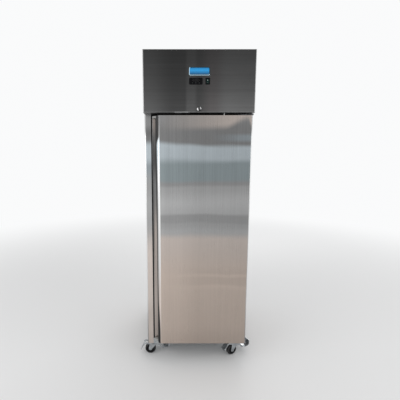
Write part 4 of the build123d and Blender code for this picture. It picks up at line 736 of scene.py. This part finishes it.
def rubber(name, colour, roughness):
    """Rubber with dust in its grain."""
    graph = Graph(name, colour, roughness)
    dust = graph.noise(55.0, 5.0, 0.5)
    dusty = tuple(channel + DUST_TONE for channel in colour)
    graph.colour(graph.mix(graph.span(dust, 0.45, 0.75), rgba(colour), rgba(dusty)))
    graph.roughness(graph.spread(dust, roughness - 0.08, roughness + 0.08))
    graph.bump(graph.noise(1200.0, 2.0), 0.2, 0.0001)
    return graph.material


MATERIALS = {
    "stainless": stainless("stainless"),
    "stainless_dark": stainless_dark("stainless_dark"),
    "stainless_bright": stainless_bright("stainless_bright"),
    "galvanised": galvanised("galvanised"),
    "insulation": foam("insulation"),
    "breaker_plastic": moulded("breaker_plastic", (0.008, 0.008, 0.009), 0.5, specular=0.12),
    "black_plastic": moulded("black_plastic", (0.004, 0.004, 0.005), 0.38, specular=0.25),
    "badge_blue": badge_enamel("badge_blue"),
    "smoked_window": smoked_window("smoked_window"),
    "key_grey": moulded("key_grey", (0.006, 0.006, 0.007), 0.5, specular=0.1),
    "switch_green": moulded("switch_green", (0.0006, 0.016, 0.014), 0.3, specular=0.15),
    "chrome": chrome("chrome"),
    "zinc": zinc("zinc", (0.30, 0.32, 0.34), (0.56, 0.58, 0.59)),
    "black_enamel": enamel("black_enamel", (0.012, 0.012, 0.013), 0.28),
    "fin_aluminium": fins("fin_aluminium"),
    "copper": copper("copper"),
    "white_plastic": moulded("white_plastic", (0.72, 0.73, 0.71), 0.42, 0.04),
    "lamp_cover": moulded("lamp_cover", (0.82, 0.84, 0.85), 0.3, 0.03),
    "gasket_rubber": rubber("gasket_rubber", (0.055, 0.055, 0.060), 0.6),
    "wheel_rubber": rubber("wheel_rubber", (0.012, 0.012, 0.013), 0.55),
    "shelf_coating": enamel("shelf_coating", (0.60, 0.61, 0.61), 0.35),
}
printed = moulded("printed_white", (0.78, 0.80, 0.78), 0.5, 0.03)
printed_faint = moulded("printed_grey", (0.10, 0.11, 0.11), 0.5, 0.03)
dark_case = moulded("dark_case", (0.003, 0.003, 0.004), 0.45, specular=0.07)

# Nodes whose finish differs from that of their slot; for the deck, the hinge brackets and the lock the difference
# is painted shade or painted reflection
OWN_FINISH = {
    # The deck's front strip is painted shade.
    "deck_panel": stainless_painted_shade("steel_painted_shade"),
    # Zinc darkened as painted shade in the gap above the door
    "hinge_brackets": zinc("zinc_painted_shade", (0.030, 0.031, 0.034), (0.075, 0.076, 0.078)),
    "lock_housing": lock_chrome("lock_chrome"),
    # The plug's front shows a dark room as a painted reflection.
    "lock_plug": chrome("plug_chrome", 0.04),
    "controller_case": dark_case,
    "rocker_frame": dark_case,
    "door_fittings": moulded("grey_plastic", (0.30, 0.30, 0.29), 0.45, 0.05),
}


def finish_piece(piece, slot, body, material=None):
    """Gives a new piece its material, taken from its slot unless one is given, and the body that it rides on."""
    piece.data.materials.clear()
    piece.data.materials.append(material or MATERIALS[slot])
    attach(piece, body)


# CAD nodes: material by slot, and a small round on their bent or moulded edges

EDGE_ROUND = {
    "controller_case": 0.0008,
    "rocker_frame": 0.0006,
    "rocker": 0.0006,
    "lock_plug": 0.0003,
    "hinge_brackets": 0.0006,
    "interior_lamp": 0.0008,
    "electrical_box": 0.0012,
    "caster_plates": 0.0005,
    "cable_gland": 0.0004,
    "door_fittings": 0.0004,
    "door_switch": 0.0006,
    "breaker_frame": 0.0006,
}
CASTOR_ROUND = 0.0005
ROUND_PAST = radians(34.0)
WELD_REACH = 0.000005


def round_edges(piece, width):
    """Joins the split corners of the imported mesh and rounds what is sharp."""
    weld = piece.modifiers.new("weld", "WELD")
    weld.merge_threshold = WELD_REACH
    bevel = piece.modifiers.new("round", "BEVEL")
    bevel.width = width
    bevel.segments = 2
    bevel.limit_method = "ANGLE"
    bevel.angle_limit = ROUND_PAST
    bevel.harden_normals = False


for part in frame["record"]["subparts"]:
    node = nodes[part["node"]]
    node.data.materials.clear()
    node.data.materials.append(OWN_FINISH.get(part["node"], MATERIALS[part["material_slot"]]))
    width = EDGE_ROUND.get(part["node"], 0.0)
    if part["node"].startswith(("fork_", "pedal_")):
        width = CASTOR_ROUND
    if width:
        round_edges(node, width)


# Mesh helpers

def new_piece(name, mesh):
    made = bpy.data.meshes.new(name)
    mesh.to_mesh(made)
    mesh.free()
    piece = bpy.data.objects.new(name, made)
    bpy.context.scene.collection.objects.link(piece)
    return piece


def closed_piece(name, mesh, place=None):
    """A new piece whose faces look outwards, put in place where one is given."""
    bmesh.ops.recalc_face_normals(mesh, faces=mesh.faces)
    if place is not None:
        mesh.transform(place)
    return new_piece(name, mesh)


def merge_into(mesh, part):
    """Adds a part to a larger mesh."""
    copy = bpy.data.meshes.new("part")
    part.to_mesh(copy)
    part.free()
    mesh.from_mesh(copy)
    bpy.data.meshes.remove(copy)


def smooth(piece, crisp_past=40.0):
    """Smooth shading that leaves edges past an angle in degrees crisp."""
    for face in piece.data.polygons:
        face.use_smooth = True
    split = piece.modifiers.new("crisp", "EDGE_SPLIT")
    split.split_angle = radians(crisp_past)


def corners_at(mesh, points):
    return [mesh.verts.new(point) for point in points]


def join_loops(mesh, loops):
    """Walls from each loop of corners to the next."""
    for first, second in zip(loops, loops[1:]):
        for i in range(len(first)):
            j = (i + 1) % len(first)
            mesh.faces.new((first[i], first[j], second[j], second[i]))


def slab(mesh, outline, y0, y1):
    """A closed slab with an outline of (x, z) points, between two depths."""
    ends = [corners_at(mesh, [(x, y, z) for x, z in outline]) for y in (y0, y1)]
    for end in ends:
        mesh.faces.new(end)
    join_loops(mesh, ends)


def circle(radius, count, z=0.0):
    """The (x, z) points of a circle whose middle is at a height."""
    turns = [2 * pi * i / count for i in range(count)]
    return [(radius * cos(turn), z + radius * sin(turn)) for turn in turns]


def mirrored(half):
    """Half a profile, from its lower end to the middle, and its mirror image."""
    return half + [(out, -along) for out, along in reversed(half)]


def frame_ring(name, low, high, profile):
    """A closed rectangular frame in the XZ plane whose section is a loop of (outward, y) points."""
    mesh = bmesh.new()
    loops = []
    for outward, y in profile:
        left, bottom = low[0] - outward, low[1] - outward
        right, top = high[0] + outward, high[1] + outward
        loops.append(corners_at(mesh, [(left, y, bottom), (right, y, bottom), (right, y, top),
                                       (left, y, top)]))
    join_loops(mesh, loops + loops[:1])
    return closed_piece(name, mesh)


def lathe(name, profile, place, segments):
    """A loop of (radius, along) points turned about local Y and put in place."""
    mesh = bmesh.new()
    rings = [corners_at(mesh, [(x, along, z) for x, z in circle(radius, segments)])
             for radius, along in profile]
    join_loops(mesh, rings + rings[:1])
    return closed_piece(name, mesh, place)


CORNER_STEPS = 6


def rounded_outline(width, height, radius):
    """Points of a rectangle with round corners about the origin."""
    points = []
    for quarter, (sx, sz) in enumerate([(1, 1), (-1, 1), (-1, -1), (1, -1)]):
        for step in range(CORNER_STEPS + 1):
            turn = pi / 2 * (quarter + step / CORNER_STEPS)
            points.append((sx * (width / 2 - radius) + radius * cos(turn),
                           sz * (height / 2 - radius) + radius * sin(turn)))
    return points


def layered_plate(name, centre, layers, hole=False):
    """A plate that faces -Y, through outlines of (width, height, radius, y), closed at both ends.
    With a hole, the last outline joins the first and nothing is closed."""
    mesh = bmesh.new()
    rings = [corners_at(mesh, [(centre[0] + x, y, centre[1] + z)
                               for x, z in rounded_outline(width, height, radius)])
             for width, height, radius, y in layers]
    if hole:
        rings.append(rings[0])
    else:
        mesh.faces.new(rings[0])
        mesh.faces.new(rings[-1])
    join_loops(mesh, rings)
    return closed_piece(name, mesh)


# Badge: raised bright rim around a bare blue plate

BADGE_CORNER = 0.008
RIM_ROUND = 0.0008
RIM_SLOPE = 0.0004
# How fast the corners of the rim and of the plate tighten towards the middle
RIM_CORNER_FALL = 0.6
PLATE_CORNER_FALL = 0.5
LEAST_CORNER = 0.001
# The plate reaches under the rim at each side, and its face lies behind the rim's.
PLATE_LAP = 0.0003
PLATE_SINK = 0.0009
PLATE_CORNER = 0.0056
# The plate's crown: how far in from its edge, and how far behind its face
PLATE_CROWN = [(0.0, 0.0007), (0.0010, 0.0002), (0.0040, 0.0), (0.0100, -0.0001)]


def make_badge():
    low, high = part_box("badge")
    width = high.x - low.x
    height = high.z - low.z
    centre = middle(low, high)
    back = high.y
    front = low.y
    inner = BADGE_RIM - RIM_SLOPE
    steps = [(0.0, back), (0.0, front + RIM_ROUND), (RIM_ROUND, front), (inner - RIM_ROUND, front),
             (inner, front + RIM_ROUND), (BADGE_RIM, back)]
    layers = [(width - 2 * inset, height - 2 * inset, BADGE_CORNER - RIM_CORNER_FALL * inset, y)
              for inset, y in steps]
    ring = layered_plate("badge_rim", centre, layers, hole=True)
    smooth(ring)
    finish_piece(ring, "chrome", "cabinet", badge_chrome("badge_chrome"))
    covered = BADGE_RIM - PLATE_LAP
    face = front + PLATE_SINK
    layers = [(width - 2 * (covered + inset), height - 2 * (covered + inset),
               max(PLATE_CORNER - PLATE_CORNER_FALL * inset, LEAST_CORNER), y)
              for inset, y in [(0.0, back)] + [(inset, face + sink) for inset, sink in PLATE_CROWN]]
    plate = layered_plate("badge_plate", centre, layers)
    smooth(plate)
    finish_piece(plate, "badge_blue", "cabinet")
    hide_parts("badge")


# Controller: unlit digits behind the window and plain signs on the keys

DIGIT_HEIGHT = 0.0105
DIGIT_WIDTH = 0.0062
DIGIT_STROKE = 0.0011
DIGIT_PITCH = 0.0105
DIGIT_GAP = 0.0002
DIGIT_LEAN = 0.10
DIGIT_DEPTH = 0.0001
DIGIT_INSET = 0.00005
# The decimal point beside each digit, from the digit's right side
POINT_START = 0.0014
POINT_END = 0.0026


def bar(mesh, x0, x1, y0, y1, z0, z1):
    """A flat bar with pointed ends along its longer side, leaning right with height."""
    if (x1 - x0) > (z1 - z0):
        half = (z1 - z0) / 2
        middle_z = (z0 + z1) / 2
        outline = [(x0, middle_z), (x0 + half, z0), (x1 - half, z0), (x1, middle_z),
                   (x1 - half, z1), (x0 + half, z1)]
    else:
        half = (x1 - x0) / 2
        middle_x = (x0 + x1) / 2
        outline = [(middle_x, z0), (x1, z0 + half), (x1, z1 - half), (middle_x, z1),
                   (x0, z1 - half), (x0, z0 + half)]
    slab(mesh, [(x + DIGIT_LEAN * z, z) for x, z in outline], y0, y1)


def make_digits():
    low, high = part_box("display_window")
    centre_x, centre_z = middle(low, high)
    y1 = high.y - DIGIT_INSET
    y0 = y1 - DIGIT_DEPTH
    mesh = bmesh.new()
    w = DIGIT_WIDTH / 2
    h = DIGIT_HEIGHT / 2
    s = DIGIT_STROKE / 2
    for place in (-1, 0, 1):
        digit = bmesh.new()
        for z in (-h, 0.0, h):
            bar(digit, -w + DIGIT_GAP, w - DIGIT_GAP, y0, y1, z - s, z + s)
        for x in (-w, w):
            for z0, z1 in ((-h + DIGIT_GAP, -DIGIT_GAP), (DIGIT_GAP, h - DIGIT_GAP)):
                bar(digit, x - s, x + s, y0, y1, z0, z1)
        bar(digit, w + POINT_START, w + POINT_END, y0, y1, -h - s, -h + s)
        digit.transform(Matrix.Translation((centre_x + place * DIGIT_PITCH, 0.0, centre_z)))
        merge_into(mesh, digit)
    piece = closed_piece("display_digits", mesh)
    unlit = moulded("unlit_digit", (0.045, 0.016, 0.016), 0.4)
    finish_piece(piece, "key_grey", "cabinet", unlit)


SIGN_REACH = 0.0016
SIGN_RAISE = 0.00005
SIGN_SINK = 0.0003
DOT_POINTS = 20


def make_key_signs():
    """A dot on the first key and arrows down and up on the others."""
    reach = SIGN_REACH
    dot = circle(0.8 * reach, DOT_POINTS)
    down = [(-reach, 0.7 * reach), (reach, 0.7 * reach), (0.0, -0.9 * reach)]
    up = [(x, -z) for x, z in down]
    for node, body, outline in (("key_set", "set_key", dot), ("key_down", "down_key", down),
                                ("key_up", "up_key", up)):
        low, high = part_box(node)
        x, z = middle(low, high)
        mesh = bmesh.new()
        slab(mesh, [(x + a, z + b) for a, b in outline], low.y - SIGN_RAISE, low.y + SIGN_SINK)
        sign = closed_piece(node + "_sign", mesh)
        finish_piece(sign, "white_plastic", body, printed_faint)


# Rocker: a line and a ring printed on its two halves

ROCKER_TILT = radians(8.0)
ROCKER_HALF = 0.013
ROCKER_CREST = 0.0040
ROCKER_DIP = 0.0024
# Height of the prints from the pivot, and how far their faces stand off the rocker's
PRINT_HEIGHT = 0.0060
PRINT_LIFTS = (0.00008, -0.0004)
STROKE_HALF = 0.0008
STROKE_REACH = 0.0026
RING_OUTER = 0.0023
RING_INNER = 0.0015
RING_POINTS = 28


def rocker_surface(x, z, lift):
    """A point on the rocker's front at height z from its pivot, at rest."""
    pivot = Vector(joints["rocker_tilt"]["pos_m"])
    depth = ROCKER_DIP + (ROCKER_CREST - ROCKER_DIP) * abs(z) / ROCKER_HALF + lift
    turn = Matrix.Rotation(ROCKER_TILT, 3, "X")
    return pivot + turn @ Vector((x, -depth, z))


def rocker_sign(name, outline, print_finish, inner=None):
    """A print that follows the rocker's front, open in its middle where inner is given."""
    mesh = bmesh.new()
    outlines = [outline, inner] if inner else [outline]
    loops = [corners_at(mesh, [rocker_surface(x, z, lift) for x, z in points])
             for points in outlines for lift in PRINT_LIFTS]
    if inner:
        outer_front, outer_back, inner_front, inner_back = loops
        loops = [outer_front, outer_back, inner_back, inner_front, outer_front]
    else:
        mesh.faces.new(loops[0])
        mesh.faces.new(loops[1])
    join_loops(mesh, loops)
    finish_piece(closed_piece(name, mesh), "white_plastic", "rocker_switch", print_finish)


def make_rocker_signs():
    bottom = PRINT_HEIGHT - STROKE_REACH
    top = PRINT_HEIGHT + STROKE_REACH
    rocker_sign("rocker_line", [(-STROKE_HALF, bottom), (STROKE_HALF, bottom), (STROKE_HALF, top),
                                (-STROKE_HALF, top)], printed)
    outer, inner = [circle(radius, RING_POINTS, -PRINT_HEIGHT) for radius in (RING_OUTER, RING_INNER)]
    rocker_sign("rocker_ring", outer, printed_faint, inner)


# Door gasket: hollow bellows between the door's inner panel and the cabinet

GASKET_WIDTH = 0.014
# Half of its section: in from its side, and forward from its back
GASKET_HALF = [(0.0008, 0.0), (0.0, 0.0010), (0.0004, 0.0020), (0.0016, 0.0030), (0.0006, 0.0042),
               (0.0012, 0.0057), (0.0048, 0.0057), (0.0050, 0.0103)]
GASKET_ROUND = 0.0003
GASKET_ROUND_PAST = radians(25.0)


def make_gasket():
    low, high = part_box("door_gasket")
    inner_low = (low.x + GASKET_WIDTH, low.z + GASKET_WIDTH)
    inner_high = (high.x - GASKET_WIDTH, high.z - GASKET_WIDTH)
    profile = [(GASKET_WIDTH - inset, high.y - reach) for inset, reach in GASKET_HALF]
    profile += [(inset, high.y - reach) for inset, reach in reversed(GASKET_HALF)]
    gasket = frame_ring("gasket_bellows", inner_low, inner_high, profile)
    bevel = gasket.modifiers.new("soften", "BEVEL")
    bevel.width = GASKET_ROUND
    bevel.segments = 2
    bevel.limit_method = "ANGLE"
    bevel.angle_limit = GASKET_ROUND_PAST
    finish_piece(gasket, "gasket_rubber", "door")
    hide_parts("door_gasket")


# Castor wheels: rubber tread on a ribbed centre

TREAD = 0.0375
SEAT = 0.0285
HALF_WIDTH = 0.0125
HALF_HUB = HALF_WIDTH + 0.0012
HALF_WEB = HALF_WIDTH - 0.0040
GROOVE = 0.0009
# Half profiles of (radius, along), from one side of the wheel to its middle
TYRE_HALF = [(SEAT, -HALF_WIDTH + 0.0012), (SEAT + 0.0012, -HALF_WIDTH),
             (TREAD - 0.0048, -HALF_WIDTH), (TREAD - 0.0016, -HALF_WIDTH + 0.0018),
             (TREAD, -HALF_WIDTH + 0.0050), (TREAD, -0.0040), (TREAD - GROOVE, -0.0034),
             (TREAD - GROOVE, -0.0026), (TREAD, -0.0020)]
CENTRE_HALF = [(0.00405, -HALF_HUB), (0.0096, -HALF_HUB), (0.0100, -HALF_HUB + 0.0006),
               (0.0110, -HALF_WEB), (0.0250, -HALF_WEB), (0.0262, -HALF_WIDTH + 0.0008),
               (SEAT, -HALF_WIDTH + 0.0008)]
TYRE_SEGMENTS = 96
CENTRE_SEGMENTS = 72
WHEEL_CRISP_PAST = 35.0
RIBS = 8
RIB_HALF = [(0.0102, -0.0009), (0.0256, -0.0006)]
RIB_ROOT = HALF_WEB - 0.0004
RIB_CREST = HALF_WEB + 0.0026


def wheel_place(joint):
    """Moves a wheel made about local Y onto its joint's axis."""
    axis = Vector(joint["axis"]).normalized()
    across = axis.cross(Vector((0.0, 0.0, 1.0))).normalized()
    up = across.cross(axis)
    return Matrix.Translation(joint["pos_m"]) @ Matrix((across, axis, up)).transposed().to_4x4()


def make_wheel(corner):
    place = wheel_place(joints[corner + "_roll"])
    tyre = lathe("tyre_" + corner, mirrored(TYRE_HALF), place, TYRE_SEGMENTS)
    smooth(tyre, WHEEL_CRISP_PAST)
    finish_piece(tyre, "wheel_rubber", corner + "_wheel")
    centre = lathe("wheel_centre_" + corner, mirrored(CENTRE_HALF), place, CENTRE_SEGMENTS)
    smooth(centre, WHEEL_CRISP_PAST)
    finish_piece(centre, "black_plastic", corner + "_wheel")
    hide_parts("wheel_" + corner)
    mesh = bmesh.new()
    for side in (-1, 1):
        for i in range(RIBS):
            rib = bmesh.new()
            slab(rib, mirrored(RIB_HALF), side * RIB_ROOT, side * RIB_CREST)
            # The ribs of one side stand between those of the other.
            turn = 2 * pi * (i + 0.5 * (side > 0)) / RIBS
            rib.transform(place @ Matrix.Rotation(turn, 4, "Y"))
            merge_into(mesh, rib)
    ribs = closed_piece("wheel_ribs_" + corner, mesh)
    finish_piece(ribs, "black_plastic", corner + "_wheel")


make_badge()
make_digits()
make_key_signs()
make_rocker_signs()
make_gasket()
for corner in ("front_left", "front_right", "back_left", "back_right"):
    make_wheel(corner)


# Floor, world, lamps and camera

PALE = (0.955, 0.960, 0.965)
WORLD_FILL = 0.70
FLOOR_TONE = 0.80
FLOOR_RADIUS = 14.0
# Distance from the middle over which the floor fades into the background
FLOOR_FADE = (1.4, 5.5)
# Place, target, size and power of each lamp
LAMPS = {
    "key": ((-2.8, -2.2, 2.3), (0.0, 0.0, 1.1), (2.4, 3.0), 40.0),
    "fill": ((2.8, -1.8, 2.0), (0.0, 0.0, 1.0), (2.4, 2.6), 24.0),
    "back": ((0.8, 3.2, 2.6), (0.0, 0.0, 1.0), (2.8, 2.4), 34.0),
}


def background_rays(graph_nodes, links):
    """1 for the rays that show the background: camera, glossy and transmission rays."""
    light_path = graph_nodes.new("ShaderNodeLightPath")
    shown = light_path.outputs["Is Camera Ray"]
    for kind in ("Is Glossy Ray", "Is Transmission Ray"):
        either = graph_nodes.new("ShaderNodeMath")
        either.operation = "MAXIMUM"
        links.new(shown, either.inputs[0])
        links.new(light_path.outputs[kind], either.inputs[1])
        shown = either.outputs[0]
    return shown


def make_world():
    world = bpy.data.worlds.new("studio")
    bpy.context.scene.world = world
    world.use_nodes = True
    graph_nodes = world.node_tree.nodes
    links = world.node_tree.links
    fill = graph_nodes["Background"]
    shown = graph_nodes.new("ShaderNodeBackground")
    for background, strength in ((fill, WORLD_FILL), (shown, 1.0)):
        background.inputs["Color"].default_value = rgba(PALE)
        background.inputs["Strength"].default_value = strength
    mixed = graph_nodes.new("ShaderNodeMixShader")
    links.new(background_rays(graph_nodes, links), mixed.inputs[0])
    links.new(fill.outputs[0], mixed.inputs[1])
    links.new(shown.outputs[0], mixed.inputs[2])
    links.new(mixed.outputs[0], graph_nodes["World Output"].inputs[0])


def make_floor():
    """A pale disc that fades into the background with distance."""
    mesh = bmesh.new()
    bmesh.ops.create_circle(mesh, cap_ends=True, segments=96, radius=FLOOR_RADIUS)
    floor = new_piece("floor", mesh)
    graph = Graph("floor", (FLOOR_TONE,) * 3, 0.85)
    graph.set("Specular IOR Level", 0.1)
    glow = graph.add("ShaderNodeEmission")
    glow.inputs["Color"].default_value = rgba(PALE)
    glow.inputs["Strength"].default_value = 1.0
    distance = graph.add("ShaderNodeVectorMath", operation="LENGTH")
    graph.link(graph.place, distance.inputs[0])
    far = graph.span(distance.outputs["Value"], *FLOOR_FADE, smooth=True)
    seen = background_rays(graph.tree.nodes, graph.tree.links)
    mixed = graph.add("ShaderNodeMixShader")
    graph.link(graph.math("MULTIPLY", far, seen), mixed.inputs[0])
    graph.link(graph.shader.outputs[0], mixed.inputs[1])
    graph.link(glow.outputs[0], mixed.inputs[2])
    graph.link(mixed.outputs[0], graph.tree.nodes["Material Output"].inputs[0])
    floor.data.materials.append(graph.material)


def make_lamp(name, place, target, size, power):
    light = bpy.data.lights.new(name, "AREA")
    light.shape = "RECTANGLE"
    light.size = size[0]
    light.size_y = size[1]
    light.energy = power
    lamp = bpy.data.objects.new(name, light)
    lamp.location = place
    aim = Vector(target) - Vector(place)
    lamp.rotation_euler = aim.to_track_quat("-Z", "Y").to_euler()
    bpy.context.scene.collection.objects.link(lamp)


def make_camera():
    data = bpy.data.cameras.new("camera")
    data.lens = CAMERA_LENS
    data.shift_x = CAMERA_SHIFT
    camera = bpy.data.objects.new("camera", data)
    camera.location = CAMERA_PLACE
    camera.rotation_euler = (pi / 2 - CAMERA_PITCH, 0.0, 0.0)
    bpy.context.scene.collection.objects.link(camera)
    bpy.context.scene.camera = camera


make_world()
make_floor()
for name, settings in LAMPS.items():
    make_lamp(name, *settings)
make_camera()
bpy.context.scene.view_settings.view_transform = "Standard"
